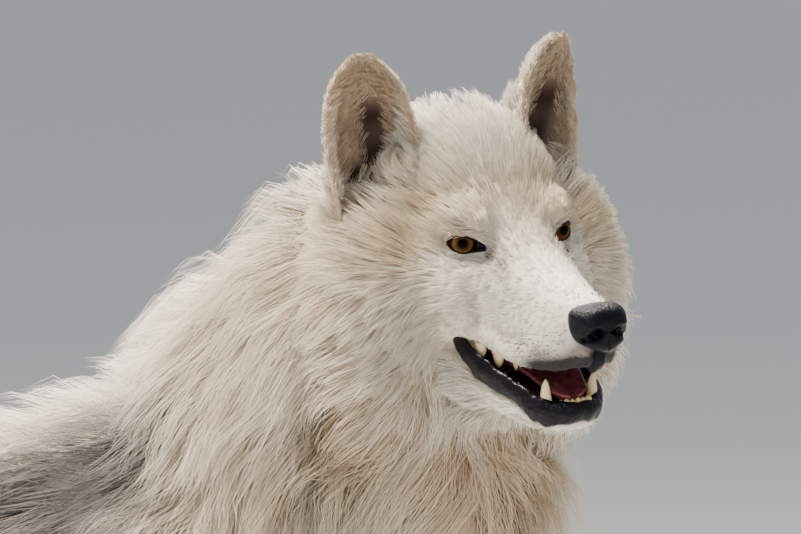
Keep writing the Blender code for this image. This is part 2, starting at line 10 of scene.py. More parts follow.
import bmesh
import bpy
import numpy as np
from mathutils import Matrix, Vector
from mathutils.bvhtree import BVHTree


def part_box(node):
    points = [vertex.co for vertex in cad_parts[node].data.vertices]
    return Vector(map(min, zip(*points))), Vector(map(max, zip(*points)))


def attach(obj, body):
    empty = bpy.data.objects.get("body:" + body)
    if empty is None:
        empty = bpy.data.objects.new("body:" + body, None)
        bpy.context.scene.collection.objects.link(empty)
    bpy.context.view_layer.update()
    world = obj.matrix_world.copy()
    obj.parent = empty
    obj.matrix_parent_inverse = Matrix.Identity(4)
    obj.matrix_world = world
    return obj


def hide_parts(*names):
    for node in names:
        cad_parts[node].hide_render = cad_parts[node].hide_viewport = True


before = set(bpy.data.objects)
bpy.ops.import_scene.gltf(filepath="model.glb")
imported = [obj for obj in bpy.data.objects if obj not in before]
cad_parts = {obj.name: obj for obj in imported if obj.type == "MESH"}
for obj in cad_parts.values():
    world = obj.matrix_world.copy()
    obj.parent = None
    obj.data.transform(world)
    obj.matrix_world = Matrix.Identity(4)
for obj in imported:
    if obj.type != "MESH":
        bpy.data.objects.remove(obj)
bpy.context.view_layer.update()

RNG = np.random.default_rng(11)
SHARE = 1.0  # of the tufts
CM = 0.01
SIDES = {"left": 1.0, "right": -1.0}

# ---------------------------------------------------------------- frames


def middle(node):
    low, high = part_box(node)
    return (low + high) / 2


def rotation(degrees, axis):
    return Matrix.Rotation(math.radians(degrees), 3, axis)


HEAD_TURN = rotation(-29.6, "Z") @ rotation(8.8, "Y") @ rotation(4.7, "X")
EYE_RADIUS = 1.2
EYE_CENTRE = np.array([-0.75, 3.85, -0.1])
BETWEEN_EYES = Vector((EYE_CENTRE[0], 0.0, EYE_CENTRE[2])) * CM
HEAD_PLACE = (middle("eye_left") + middle("eye_right")) / 2 - HEAD_TURN @ BETWEEN_EYES
SHIFT = np.array(HEAD_PLACE) - np.array([0.462, -0.124, 0.900])  # design frame to row frame
TURN = np.array(HEAD_TURN)
PLACE = np.array(HEAD_PLACE)


def from_head(points):
    return PLACE + (np.asarray(points, float) * CM) @ TURN.T


def to_head(points):
    return ((np.asarray(points, float) - PLACE) @ TURN) / CM


def unit(vectors):
    return vectors / np.maximum(np.linalg.norm(vectors, axis=-1, keepdims=True), 1e-9)


def smoothstep(low, high, values):
    t = np.clip((values - low) / (high - low), 0, 1)
    return t * t * (3 - 2 * t)


def noise(points, scale, seed=0.0):
    """Smooth random values from 0 to 1 over space."""
    p = np.asarray(points, float) * scale + seed * 17.31
    cell = np.floor(p)
    t = p - cell
    t = t * t * (3 - 2 * t)
    total = np.zeros(len(p))
    for corner in range(8):
        step = np.array([corner & 1, corner >> 1 & 1, corner >> 2 & 1], float)
        spot = (cell + step) @ np.array([127.1, 311.7, 74.7])
        value = np.modf(np.abs(np.sin(spot) * 43758.5453))[0]
        weight = np.prod(np.where(step > 0, t, 1 - t), axis=1)
        total += value * weight
    return total


# ---------------------------------------------------------------- mesh helpers


def placed(name, data):
    """A new object in the scene."""
    obj = bpy.data.objects.new(name, data)
    bpy.context.scene.collection.objects.link(obj)
    return obj


def new_object(name, vertices, faces, smooth=True):
    mesh = bpy.data.meshes.new(name)
    mesh.from_pydata([tuple(v) for v in vertices], [], [tuple(f) for f in faces])
    mesh.validate()
    if smooth:
        mesh.shade_smooth()
    return placed(name, mesh)


def form_of(obj):
    """(points, faces) of an object."""
    return points_of(obj.data), [tuple(p.vertices) for p in obj.data.polygons]


def evaluated(obj):
    """The object with its modifiers made real."""
    graph = bpy.context.evaluated_depsgraph_get()
    mesh = bpy.data.meshes.new_from_object(obj.evaluated_get(graph))
    obj.modifiers.clear()
    old, obj.data = obj.data, mesh
    bpy.data.meshes.remove(old)
    return obj


def read(items, name, width, kind=float):
    values = np.empty(len(items) * width, kind)
    items.foreach_get(name, values)
    return values.reshape(-1, width)


def points_of(mesh):
    return read(mesh.vertices, "co", 3)


def set_points(mesh, points):
    mesh.vertices.foreach_set("co", np.asarray(points, np.float32).ravel())
    mesh.update()


def edges_of(mesh):
    return read(mesh.edges, "vertices", 2, np.int64)


def triangles_of(mesh):
    mesh.calc_loop_triangles()
    return read(mesh.loop_triangles, "vertices", 3, np.int64)


def crosses(points, triangles):
    """Each triangle's normal, twice as long as its area."""
    a, b, c = (points[triangles[:, k]] for k in range(3))
    return np.cross(b - a, c - a)


def summed(indices, vectors, count):
    """The sum of the vectors at each index."""
    return np.stack([np.bincount(indices, vectors[:, axis], count) for axis in range(3)], 1)


def normals_of(points, triangles):
    face = crosses(points, triangles)
    return unit(sum(summed(triangles[:, k], face, len(points)) for k in range(3)))


def relaxed(points, edges, times, share=0.5, weight=None):
    """Moves each point towards the mean of its neighbours."""
    number, (first, second) = len(points), edges.T
    count = np.bincount(edges.ravel(), minlength=number)[:, None]
    weight = share if weight is None else share * weight[:, None]
    for _ in range(times):
        total = summed(first, points[second], number) + summed(second, points[first], number)
        points = points + (total / np.maximum(count, 1) - points) * weight
    return points


def remeshed(obj, cell):
    melt = obj.modifiers.new("melt", "REMESH")
    melt.mode = "VOXEL"
    melt.voxel_size = cell
    return evaluated(obj)


def eased(rows, between):
    """Rows with `between` more in each gap, on a Catmull-Rom curve through them."""
    rows = np.asarray(rows, float)
    made = []
    for i in range(len(rows) - 1):
        a, b, c, d = (rows[np.clip(i + k, 0, len(rows) - 1)] for k in (-1, 0, 1, 2))
        for step in range(between + 1):
            t = step / (between + 1)
            row = a * (-t + 2 * t**2 - t**3) + b * (2 - 5 * t**2 + 3 * t**3)
            made.append((row + c * (t + 4 * t**2 - 3 * t**3) + d * (t**3 - t**2)) / 2)
    made.append(rows[-1])
    return np.array(made)


def grid_faces(rows, columns, closed):
    """Quads between neighbouring rows of a grid of points; closed joins the last column to the first."""
    faces = []
    for i in range(rows - 1):
        for j in range(columns if closed else columns - 1):
            after = (j + 1) % columns
            faces.append((i * columns + j, i * columns + after, (i + 1) * columns + after, (i + 1) * columns + j))
    return faces


def capped(rings):
    """A closed tube through the rings, (points, faces)."""
    rows, columns = rings.shape[:2]
    points = np.concatenate([rings.reshape(-1, 3), [rings[0].mean(0)], [rings[-1].mean(0)]])
    faces = grid_faces(rows, columns, True)
    first, last = rows * columns, rows * columns + 1
    for j in range(columns):
        after = (j + 1) % columns
        faces.append((first, after, j))
        faces.append((last, (rows - 1) * columns + j, (rows - 1) * columns + after))
    return points, faces


def angles_round(count):
    return np.linspace(0, 2 * math.pi, count, endpoint=False)


def slices(rows, roundness=2.2, waist=0.36, sides=48, between=5):
    """Upright slices along the head's X. A row is (x, top, bottom, half width)."""
    rings = []
    angles = angles_round(sides)
    across, up = (np.sign(v) * np.abs(v) ** (2 / roundness) for v in (np.cos(angles), np.sin(angles)))
    for x, top, bottom, half_width in eased(rows, between):
        centre = bottom + (top - bottom) * waist
        height = np.where(up > 0, up * (top - centre), up * (centre - bottom))
        rings.append(np.stack([np.full(sides, x), across * half_width, centre + height], 1))
    return capped(np.array(rings))


def ellipsoid(centre, radii, columns=40, rows=24):
    theta = np.linspace(0.04, math.pi - 0.04, rows)[:, None]
    phi = angles_round(columns)[None]
    ball = np.stack([np.sin(theta) * np.cos(phi), np.sin(theta) * np.sin(phi), np.cos(theta) * np.ones_like(phi)], 2)
    return capped(np.asarray(centre) + ball * np.asarray(radii))


def swept(path, half_out, half_up, sides=20, up=(0.0, 0.0, 1.0)):
    """An oval tube along a path; half_out is its half width across, half_up its half height."""
    forward = unit(np.gradient(path, axis=0))
    across = unit(np.cross(np.asarray(up), forward))
    over = np.cross(forward, across)
    angles = angles_round(sides)
    cos, sin = np.cos(angles)[None, :, None], np.sin(angles)[None, :, None]
    half_out, half_up = (np.asarray(h, float).reshape(-1, 1, 1) for h in (half_out, half_up))
    return path[:, None] + across[:, None] * cos * half_out + over[:, None] * sin * half_up


def merged(forms):
    """Several (points, faces) as one."""
    points, faces, start = [], [], 0
    for form_points, form_faces in forms:
        points.append(form_points)
        faces += [tuple(i + start for i in face) for face in form_faces]
        start += len(form_points)
    return np.concatenate(points), faces


# ---------------------------------------------------------------- the lie of the coat

# Each guide: place, depth of the coat in centimetres, a hair's length over that depth, the way it lies,
# how tan and how grey it is. Guides off the middle stand on both sides.
HEAD_GUIDES = (
    ((11.5, 0.0, -2.0), 0.12, 6.5, (-1.0, 0.0, 0.05), 0.05, 0.05),
    # grey along the upper lip's edge here and at (6.5, 3.1, -7.4): the lip's dark hair, and partly painted shade
    ((12.3, 1.0, -6.3), 0.10, 4.0, (-0.6, 0.8, 0.0), 0.10, 1.80),
    ((6.5, 3.1, -7.4), 0.09, 5.0, (-1.0, 0.1, 0.0), 0.10, 0.90),
    ((1.5, 4.4, -6.5), 0.11, 5.0, (-1.0, 0.2, 0.1), 0.30, 0.12),
    ((2.3, 2.2, -0.9), 0.20, 5.0, (-0.9, 0.3, 0.1), 0.40, 0.65),
    ((3.6, 1.9, -1.2), 0.20, 5.5, (-0.95, 0.2, 0.1), 0.30, 0.35),
    ((8.5, 0.0, -1.3), 0.15, 6.0, (-1.0, 0.0, 0.1), 0.02, 0.02),
    # the grey here and at the next guide is painted shade on the muzzle's lower side
    ((11.0, 2.3, -4.5), 0.11, 6.0, (-1.0, 0.15, -0.1), 0.10, 0.60),
    ((8.5, 2.8, -4.5), 0.13, 6.0, (-1.0, 0.1, -0.12), 0.05, 0.58),
    # here and at the next guide: grey for the lip's dark hair, and partly painted shade
    ((9.0, 2.7, -7.2), 0.09, 5.0, (-1.0, 0.1, 0.0), 0.10, 1.20),
    ((4.0, 3.6, -7.0), 0.10, 5.0, (-1.0, 0.15, 0.0), 0.20, 0.45),
    ((5.0, 1.5, -0.6), 0.20, 5.5, (-1.0, 0.1, 0.2), 0.03, 0.03),
    # its grey is painted shade on the muzzle's side
    ((4.5, 3.2, -3.5), 0.20, 5.5, (-0.95, 0.25, -0.15), 0.08, 0.50),
    ((1.8, 0.0, 1.0), 0.28, 4.8, (-0.75, 0.0, 0.65), 0.45, 0.18),
    ((0.2, 2.6, 2.2), 0.50, 3.6, (-0.6, 0.35, 0.7), 0.75, 0.30),
    # its grey is partly painted shade below the muzzle's side
    ((1.6, 3.9, -2.0), 0.25, 5.0, (-0.85, 0.4, -0.3), 0.20, 0.16),
    ((-1.6, 5.4, 1.2), 0.50, 3.6, (-0.85, 0.4, 0.3), 0.90, 0.22),
    ((-2.8, 6.0, -0.4), 0.80, 3.4, (-0.85, 0.45, 0.0), 0.85, 0.12),
    ((-3.0, 0.0, 6.0), 0.90, 3.0, (-0.75, 0.0, 0.65), 0.35, 0.10),
    ((-4.0, 3.5, 5.4), 0.90, 3.0, (-0.75, 0.3, 0.6), 0.50, 0.14),
    ((-5.0, 5.0, 4.6), 0.70, 3.0, (-0.8, 0.3, 0.5), 0.55, 0.12),
    ((-6.2, 5.6, 4.6), 0.55, 3.0, (-0.3, 0.5, 0.85), 0.70, 0.10),
    ((-5.6, 8.4, 2.6), 0.90, 2.6, (-0.6, 0.2, 0.7), 0.75, 0.08),
    ((-5.0, 8.0, -0.5), 1.60, 2.4, (-0.9, 0.4, 0.0), 0.60, 0.06),
    ((-8.5, 0.0, 8.0), 2.30, 1.12, (-0.5, 0.0, 0.85), 0.00, 0.00),
    ((-7.0, 4.0, 6.6), 1.10, 2.6, (-0.85, 0.25, 0.4), 0.20, 0.05),
    ((-5.5, 7.0, 1.5), 2.40, 2.3, (-0.85, 0.5, -0.15), 0.25, 0.05),
    ((-1.8, 5.6, -4.5), 1.70, 2.7, (-0.85, 0.35, -0.35), 0.40, 0.03),
    ((-4.5, 7.5, -5.5), 2.70, 1.8, (-0.7, 0.4, -0.6), 0.30, 0.03),
    ((-3.0, 5.0, -10.0), 2.80, 2.0, (-0.75, 0.3, -0.6), 0.30, 0.03),
    ((-8.0, 8.5, -6.0), 3.60, 1.7, (-0.55, 0.35, -0.8), 0.35, 0.03),
    ((-7.0, 6.0, -13.0), 5.00, 1.7, (-0.4, 0.2, -0.9), 0.80, 0.12),
    ((-11.0, 6.0, 2.0), 3.50, 1.8, (-0.8, 0.35, -0.55), 0.15, 0.03),
    ((-13.0, 0.0, 6.0), 3.40, 1.8, (-1.0, 0.0, -0.1), 0.02, 0.02),
    ((8.6, 0.0, -12.8), 0.40, 3.2, (-1.0, 0.0, -0.1), 0.10, 0.10),
    ((5.0, 2.9, -11.8), 0.35, 4.2, (-0.95, 0.1, -0.2), 0.10, 0.03),
    ((1.0, 3.6, -11.8), 0.90, 3.1, (-0.9, 0.15, -0.3), 0.15, 0.03),
    ((0.0, 0.0, -13.0), 1.40, 2.5, (-0.95, 0.0, -0.3), 0.25, 0.05),
    ((-4.0, 0.0, -14.0), 3.60, 1.9, (-0.7, 0.0, -0.7), 0.80, 0.20),
)
BODY_GUIDES = (
    ((0.270, 0.0, 0.900), 6.5, 1.6, (-0.85, 0.0, -0.35), 0.03, 0.02),
    ((0.120, 0.0, 0.800), 7.5, 1.15, (-0.8, 0.0, 0.1), 0.05, 0.02),
    ((0.300, 0.120, 0.800), 6.5, 1.7, (-0.42, 0.05, -0.9), 0.45, 0.07),
    ((0.240, 0.130, 0.720), 6.5, 1.7, (-0.28, 0.05, -0.95), 0.65, 0.12),
    ((0.150, 0.130, 0.730), 6.0, 1.7, (-0.50, 0.05, -0.85), 0.40, 0.06),
    ((0.300, 0.160, 0.725), 6.5, 1.7, (-0.25, 0.05, -0.95), 0.90, 0.45),
    ((0.325, 0.150, 0.675), 6.0, 1.7, (-0.15, 0.05, -1.0), 0.0, 0.0),
    ((0.420, 0.0, 0.740), 4.6, 2.0, (-0.10, 0.0, -1.0), 0.85, 0.12),
    ((0.400, 0.0, 0.630), 4.6, 2.0, (-0.05, 0.0, -1.0), 0.90, 0.12),
    ((0.330, 0.0, 0.500), 4.2, 1.9, (-0.3, 0.0, -0.9), 0.55, 0.05),
    ((0.330, 0.110, 0.620), 6.5, 1.8, (-0.25, 0.05, -0.95), 0.75, 0.15),
    ((0.140, 0.160, 0.600), 4.2, 2.0, (-0.45, 0.0, -0.9), 0.35, 0.20),
    ((0.060, 0.0, 0.790), 6.0, 1.8, (-1.0, 0.0, -0.15), 0.05, 0.03),
    ((0.050, 0.120, 0.740), 4.6, 2.0, (-0.90, 0.0, -0.45), 0.25, 0.15),
    ((0.020, 0.150, 0.665), 4.2, 2.1, (-0.88, 0.0, -0.5), 0.60, 1.50),
    ((-0.100, 0.0, 0.730), 4.8, 2.0, (-1.0, 0.0, 0.0), 0.15, 0.25),
    ((-0.350, 0.0, 0.720), 4.4, 2.1, (-1.0, 0.0, -0.05), 0.15, 0.22),
    ((-0.080, 0.165, 0.540), 4.0, 2.2, (-0.9, 0.0, -0.45), 0.30, 0.25),
    ((-0.250, 0.150, 0.600), 3.8, 2.2, (-0.9, 0.0, -0.45), 0.30, 0.20),
    ((0.050, 0.0, 0.390), 3.4, 2.2, (-0.95, 0.0, -0.3), 0.10, 0.0),
    ((-0.220, 0.0, 0.430), 3.0, 2.2, (-0.95, 0.0, -0.2), 0.10, 0.0),
    ((-0.500, 0.0, 0.660), 3.8, 2.0, (-0.8, 0.0, -0.6), 0.15, 0.12),
    ((-0.380, 0.135, 0.580), 3.2, 2.2, (-0.55, 0.0, -0.8), 0.20, 0.08),
    ((-0.490, 0.070, 0.500), 3.6, 2.0, (-0.4, 0.0, -0.9), 0.15, 0.05),
    ((-0.260, 0.125, 0.430), 1.9, 2.5, (-0.3, 0.0, -1.0), 0.15, 0.03),
    ((-0.370, 0.110, 0.320), 1.2, 2.8, (-0.4, 0.0, -0.9), 0.15, 0.02),
    ((-0.460, 0.090, 0.200), 0.7, 3.3, (0.0, 0.0, -1.0), 0.12, 0.0),
    ((-0.440, 0.082, 0.100), 0.6, 3.3, (0.1, 0.0, -1.0), 0.10, 0.0),
    ((-0.380, 0.082, 0.030), 0.25, 5.0, (0.9, 0.0, -0.3), 0.08, 0.0),
    ((0.110, 0.115, 0.430), 2.4, 2.4, (-0.4, 0.0, -0.9), 0.25, 0.03),
    ((0.160, 0.085, 0.300), 1.0, 3.0, (-0.1, 0.0, -1.0), 0.18, 0.02),
    ((0.180, 0.080, 0.160), 0.65, 3.3, (0.0, 0.0, -1.0), 0.12, 0.0),
    ((0.250, 0.080, 0.030), 0.25, 5.0, (0.9, 0.0, -0.3), 0.08, 0.0),
    ((-0.520, 0.0, 0.630), 3.0, 2.1, (-0.7, 0.0, -0.7), 0.15, 0.10),
    ((-0.610, 0.0, 0.450), 4.3, 1.9, (-0.1, 0.0, -1.0), 0.15, 0.10),
    ((-0.605, 0.015, 0.280), 3.4, 2.3, (0.0, 0.0, -1.0), 0.20, 0.18),
)


def guide_table():
    """(places, values) with every guide in the row's frame, and mirrored where it is off the middle."""
    places, values = [], []
    for on_head, guides in ((True, HEAD_GUIDES), (False, BODY_GUIDES)):
        for place, depth, ratio, lie, tan, grey in guides:
            for side in (1, -1) if abs(place[1]) > 0.02 else (1,):
                spot = np.array(place) * (1, side, 1)
                way = np.array(lie) * (1, side, 1)
                if on_head:
                    spot, way = from_head(spot), TURN @ way
                else:
                    spot = spot + SHIFT
                places.append(spot)
                values.append([depth * CM, ratio, *way, tan, grey])
    return np.array(places), np.array(values)


GUIDE_PLACES, GUIDE_VALUES = guide_table()
DEPTH, RATIO, LIE, TAN_SHARE, GREY_SHARE = 0, 1, slice(2, 5), 5, 6
NEARNESS = 2.2  # how sharply a guide's say falls with distance
BATCH = 20000  # points looked at together
LIP_GREY = 2.6  # how much greyer the coat is along the front of the upper lip
DARK_PATCHES = (
    # middle, width, how much greyer than the coat round it; one on each side
    ((0.120, 0.110, 0.750), 0.045, 1.6),
    ((0.085, 0.115, 0.700), 0.060, 1.5),
    ((0.300, 0.110, 0.750), 0.035, 0.7),
)


def coat_at(points):
    """The guides' values at the points, greyer in the patches and at the front of the upper lip."""
    made = np.empty((len(points), GUIDE_VALUES.shape[1]))
    for start in range(0, len(points), BATCH):
        part = points[start : start + BATCH]
        squared = ((part[:, None] - GUIDE_PLACES[None]) ** 2).sum(2) + 1e-5
        weights = squared**-NEARNESS
        made[start : start + BATCH] = (weights / weights.sum(1, keepdims=True)) @ GUIDE_VALUES
    x, y, z = (points - SHIFT).T
    for spot, width, grey in DARK_PATCHES:
        squared = (x - spot[0]) ** 2 + (np.abs(y) - spot[1]) ** 2 + (z - spot[2]) ** 2
        made[:, GREY_SHARE] += grey * np.exp(-squared / width**2)
    head = to_head(points)
    under = under_lip(head)
    front = smoothstep(6.5, 11.0, head[:, 0]) * (under < 2)
    made[:, GREY_SHARE] += LIP_GREY * smoothstep(-0.75, -0.15, under) * front
    return made


# ---------------------------------------------------------------- colours

# Linear red, green, blue.
WHITE = np.array([0.92, 0.87, 0.78])
CREAM = np.array([0.78, 0.59, 0.37])
TAN = np.array([0.42, 0.25, 0.12])
GREY_BROWN = np.array([0.15, 0.12, 0.11])
BLACK = np.array([0.008, 0.007, 0.008])
# the inside of the mouth: the skin's dark red, deepened as painted shade
MOUTH_RED_IN_SHADE = np.array([0.055, 0.010, 0.013])
EAR_SKIN = np.array([0.44, 0.30, 0.215])
# painted shade of the ear's canal and of the low part of its cup
EAR_CANAL_SHADE = np.array([0.030, 0.013, 0.011])


def blended(first, second, share):
    return first + (second - first) * np.asarray(share)[:, None]


GREYEST, GREY_TO_BLACK = 1.15, 1.2  # the most that is only grey, and how much more is black
MOST_BLACK = 0.9
TIP_GREY = 0.8  # of the root's grey, kept at the tip


def coat_colours(points, tan, grey, depth):
    """(at the root, at the tip) of hairs that grow at the points; short ones change less along them."""
    short = smoothstep(0.022, 0.006, depth)
    cloud = noise(points, 22.0, 1) * 0.6 + noise(points, 60.0, 2) * 0.4
    tan = np.clip(tan * (0.45 + 1.1 * cloud) + 0.06, 0, 2)
    grey = grey * (0.2 + 1.6 * noise(points, 30.0, 3))
    black = np.clip((grey - GREYEST) / GREY_TO_BLACK, 0, MOST_BLACK)
    grey = np.clip(grey, 0, 1)
    tip = blended(blended(WHITE, CREAM, np.minimum(tan, 1)), TAN, np.maximum(tan - 1, 0))
    tip = blended(blended(tip, GREY_BROWN, grey * TIP_GREY), BLACK, black)
    # the root's colour: the undercoat's tan, and partly painted shade deep in the coat
    root = blended(blended(CREAM, TAN, np.clip(0.2 + 1.0 * tan, 0, 1)), GREY_BROWN, grey)
    root = blended(root, BLACK, black)
    return blended(root, tip, short * 0.5), tip


# ---------------------------------------------------------------- the skin

FLESH = ["head", "lower_jaw", "neck", "trunk", "tail", "ear_left", "ear_right"]
FLESH += [f"{part}_{side}" for part in ("foreleg", "forepaw", "hindleg", "hindpaw") for side in SIDES]
HEAD_CUT = (np.array([-10.5, 0.0, -4.0]), np.array([0.865, 0.0, 0.502]))

SKULL = (
    # x, top, bottom, half width
    (-14.5, 3.6, -5.0, 3.6),
    (-12.5, 5.6, -6.4, 5.2),
    (-10.0, 7.2, -7.4, 6.4),
    (-7.0, 7.5, -8.2, 6.9),
    (-4.0, 6.4, -8.6, 6.5),
    (-1.6, 4.2, -8.4, 5.7),
    (0.4, 2.1, -7.9, 4.9),
    (2.4, 0.45, -7.5, 4.15),
    (4.5, -0.6, -7.6, 3.5),
    (7.0, -1.3, -7.6, 3.0),
    (9.5, -1.85, -7.3, 2.75),
    (11.4, -2.25, -6.9, 2.2),
    (12.3, -2.8, -6.7, 1.5),
    (12.7, -3.4, -6.3, 1.0),
)
JAW = (
    (-6.0, -6.4, -11.4, 5.2),
    (-3.0, -6.9, -11.9, 5.15),
    (-0.8, -7.4, -12.0, 4.95),
    (0.6, -8.0, -12.05, 4.7),
    (2.0, -9.0, -12.1, 4.35),
    (4.0, -9.9, -12.2, 3.8),
    (6.0, -10.3, -12.35, 3.25),
    (8.0, -11.0, -12.6, 2.65),
    (9.0, -11.3, -12.55, 1.9),
    (9.5, -11.6, -12.3, 1.1),
)

LIP_PATH = np.array([
    # x, y, z, half height, half thickness, from a corner of the mouth to the middle of the chin
    (0.1, 4.80, -7.25, 0.40, 0.24),
    (1.1, 4.70, -7.65, 0.70, 0.34),
    (2.1, 4.45, -8.30, 0.78, 0.34),
    (3.15, 4.10, -9.00, 0.88, 0.34),
    (4.5, 3.65, -9.50, 0.84, 0.32),
    (5.8, 3.25, -9.85, 0.74, 0.30),
    (7.0, 2.90, -10.2, 0.80, 0.36),
    (7.9, 2.60, -10.65, 1.00, 0.46),
    (8.8, 1.95, -11.0, 0.96, 0.46),
    (9.35, 1.10, -11.0, 0.84, 0.42),
    (9.55, 0.0, -11.0, 0.78, 0.40),
])
UPPER_LIP = np.array([
    # x, y, z of the edge's middle, from a corner of the mouth to under the nose
    (-0.3, 4.75, -6.85),
    (2.1, 4.20, -6.62),
    (3.7, 3.70, -7.05),
    (5.2, 3.30, -7.50),
    (7.4, 2.95, -7.50),
    (9.5, 2.45, -7.28),
    (11.1, 1.70, -6.85),
    (11.9, 0.75, -6.55),
    (12.1, 0.0, -6.50),
])
LIP_RAISE = np.array([0, 0, 0.33])  # of the lip's flesh over its edge

# The ears, by side.
EAR_LENGTH = 10.5
EAR_BACK, EAR_FRONT = 0.12, 0.62  # how far in the cup's outer and inner walls are
EAR_CANAL = {1.0: 0.42, -1.0: 0.12}  # where round the cup the canal lies, towards which the skin gets painted shade
EAR_FOOT = {1.0: np.array((-7.2, 6.3, 2.4)), -1.0: np.array((-7.2, -7.5, 2.3))}
EAR_LEAN = {1.0: 13.5, -1.0: -3.5}  # to the wolf's left, in degrees


def ear_size(up):
    """(half width, depth) of an ear's cup."""
    half_width = 3.6 * (1 - up**2.8) ** 0.6 * (0.88 + 0.22 * up) + 0.22
    return half_width, half_width * (1.05 - 0.55 * up)


def ear_surface(height, turn, inset):
    """Points of an upright cup, open to the front; height runs from 0 at its foot to 1 at its tip."""
    up = np.clip(height, 0, 1)
    half_width, depth = ear_size(up)
    bend = np.radians(118 - 58 * up)
    reach = 1 - inset / (half_width + inset)
    angle = bend * turn
    y = np.sin(angle) / np.sin(np.minimum(bend, math.pi / 2)) * half_width * reach
    x = -np.cos(angle) * depth * reach + depth * np.cos(bend) * 0.2
    z = height * (EAR_LENGTH - inset * 0.6 * up)
    return np.stack(np.broadcast_arrays(x, y, z), -1)


def ear_turn(side):
    return np.array(rotation(-EAR_LEAN[side], "X") @ rotation(-6, "Y") @ rotation(side * 22, "Z"))


def ear_to_head(points, side):
    return points @ ear_turn(side).T + EAR_FOOT[side]


def ear_place(head, side):
    """Where points are about an ear: (height, across, radial, ahead), 1 at its tip, edge, back and front."""
    local = (head - EAR_FOOT[side]) @ ear_turn(side)
    height = local[:, 2] / EAR_LENGTH
    half_width, depth = ear_size(np.clip(height, 0, 1))
    across, ahead = local[:, 1] / half_width, local[:, 0] / depth
    return height, across, np.hypot(ahead, across), ahead


def ear_shell(side):
    """The ear's gristle and skin as a closed form."""
    heights = np.concatenate([[-0.22, -0.1], np.linspace(0, 0.985, 22)])[:, None]
    turns = np.linspace(-1, 1, 25)[None]
    outer = ear_surface(heights, turns, EAR_BACK)
    inner = ear_surface(heights, turns, EAR_FRONT)
    rings = np.concatenate([outer, inner[:, ::-1]], 1)
    points, faces = capped(rings)
    return ear_to_head(points, side), faces


def head_forms():
    """The skull, jaw, ruff, brows, cheeks, lips and ears, and the toes, which melt into the skin with them."""
    forms = [slices(SKULL), slices(JAW, 2.6, 0.55)]
    forms.append(ellipsoid((-7.4, 0.0, -10.5), (5.6, 8.8, 6.6)))
    for side in SIDES.values():
        forms.append(ellipsoid((-1.4, side * 3.3, 1.55), (2.9, 1.7, 1.2)))
        forms.append(ellipsoid((-3.4, side * 4.6, -4.2), (5.2, 2.3, 4.2)))
        forms.append(ellipsoid((-7.0, side * 6.0, -5.6), (5.2, 5.4, 7.8)))
        lip = eased(UPPER_LIP * (1, side, 1) + LIP_RAISE, 4)
        forms.append(capped(swept(lip, np.full(len(lip), 0.42), np.full(len(lip), 0.75), 14)))
        forms.append(ellipsoid((8.8, side * 1.5, -5.9), (2.9, 1.55, 1.75)))
        forms.append(ellipsoid(EAR_FOOT[side] + (0.6, -side * 2.3, 0.6), (2.0, 1.5, 2.6)))
        forms.append(ellipsoid((-6.8, side * 7.0, -10.8), (4.4, 4.4, 5.8)))
        forms.append(ear_shell(side))
    points, faces = merged(forms)
    return merged([(from_head(points), faces), *toes()])


def toes():
    """A knuckled toe behind each claw."""
    forms = []
    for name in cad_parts:
        if name.startswith("claw"):
            low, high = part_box(name)
            back = low.x + 0.35 * (high.x - low.x)
            forms.append(ellipsoid((back - 0.012, (low.y + high.y) / 2, 0.0165), (0.019, 0.0098, 0.0150), 24, 14))
    return forms


CORE_CELL, SKIN_CELL = 0.0042, 0.0032  # of the voxels that melt the forms together
BODY_DETAIL = 0.30  # of the faces behind the head, kept
FACE_BOX = (-1.8, 7, -12.8, 4)  # made finer: least x, greatest |y|, least and greatest z
EYE_ZONE = 2.5  # round an eye, made finer again
UNDER_SKULL = 0.022  # how much deeper the core lies under the head's own forms
DRAW_STEPS = 8


def body_core():
    """The CAD flesh as one mesh drawn in by the coat's depth, and the coat's outer surface."""
    parts = [form_of(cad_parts[name]) for name in FLESH if not name.startswith(("ear", "lower"))]
    obj = remeshed(new_object("core", *merged(parts), smooth=False), CORE_CELL)
    edges, triangles = edges_of(obj.data), triangles_of(obj.data)
    points = points_of(obj.data)
    points = relaxed(points, edges, 18, weight=smoothstep(0.03, 0.16, points[:, 2]))
    outside = BVHTree.FromPolygons(points.tolist(), triangles.tolist())
    head = to_head(points)
    on_head = smoothstep(-3, 3, (head - HEAD_CUT[0]) @ HEAD_CUT[1])
    depth = coat_at(points)[:, DEPTH] + on_head * UNDER_SKULL
    for _ in range(DRAW_STEPS):
        points = points - normals_of(points, triangles) * (depth / DRAW_STEPS)[:, None]
        points = relaxed(points, edges, 2, 0.4, weight=smoothstep(0.002, 0.01, depth))
    points[:, 2] = np.maximum(points[:, 2], 0.0005)
    set_points(obj.data, points)
    return obj, outside


def refined(obj, wanted):
    """Halves each edge between wanted points."""
    shape = bmesh.new()
    shape.from_mesh(obj.data)
    shape.verts.ensure_lookup_table()
    chosen = set(np.nonzero(wanted)[0].tolist())
    edges = [e for e in shape.edges if e.verts[0].index in chosen and e.verts[1].index in chosen]
    bmesh.ops.subdivide_edges(shape, edges=edges, cuts=1, use_grid_fill=True)
    shape.to_mesh(obj.data)
    shape.free()
    obj.data.update()


# An eye's opening, in a plane of its own: along the slit (from its middle to the outer corner), up, and out.
SLIT_INNER = np.array([1.15, 2.75, -0.55])
SLIT_OUTER = np.array([-0.95, 5.15, -0.02])


def eye_plane(side):
    """(middle, axes as rows: along, up, out)."""
    inner, outer = SLIT_INNER * (1, side, 1), SLIT_OUTER * (1, side, 1)
    along = unit(outer - inner)
    up = unit(np.array([0, 0, 1.0]) - along * along[2])
    out = np.cross(up, along) * -side
    return (inner + outer) / 2, np.stack([along, up, out])


def to_slit(head, side):
    """Points in the head's frame as (along, up, out)."""
    middle_point, axes = eye_plane(side)
    return ((head - middle_point) @ axes.T).T


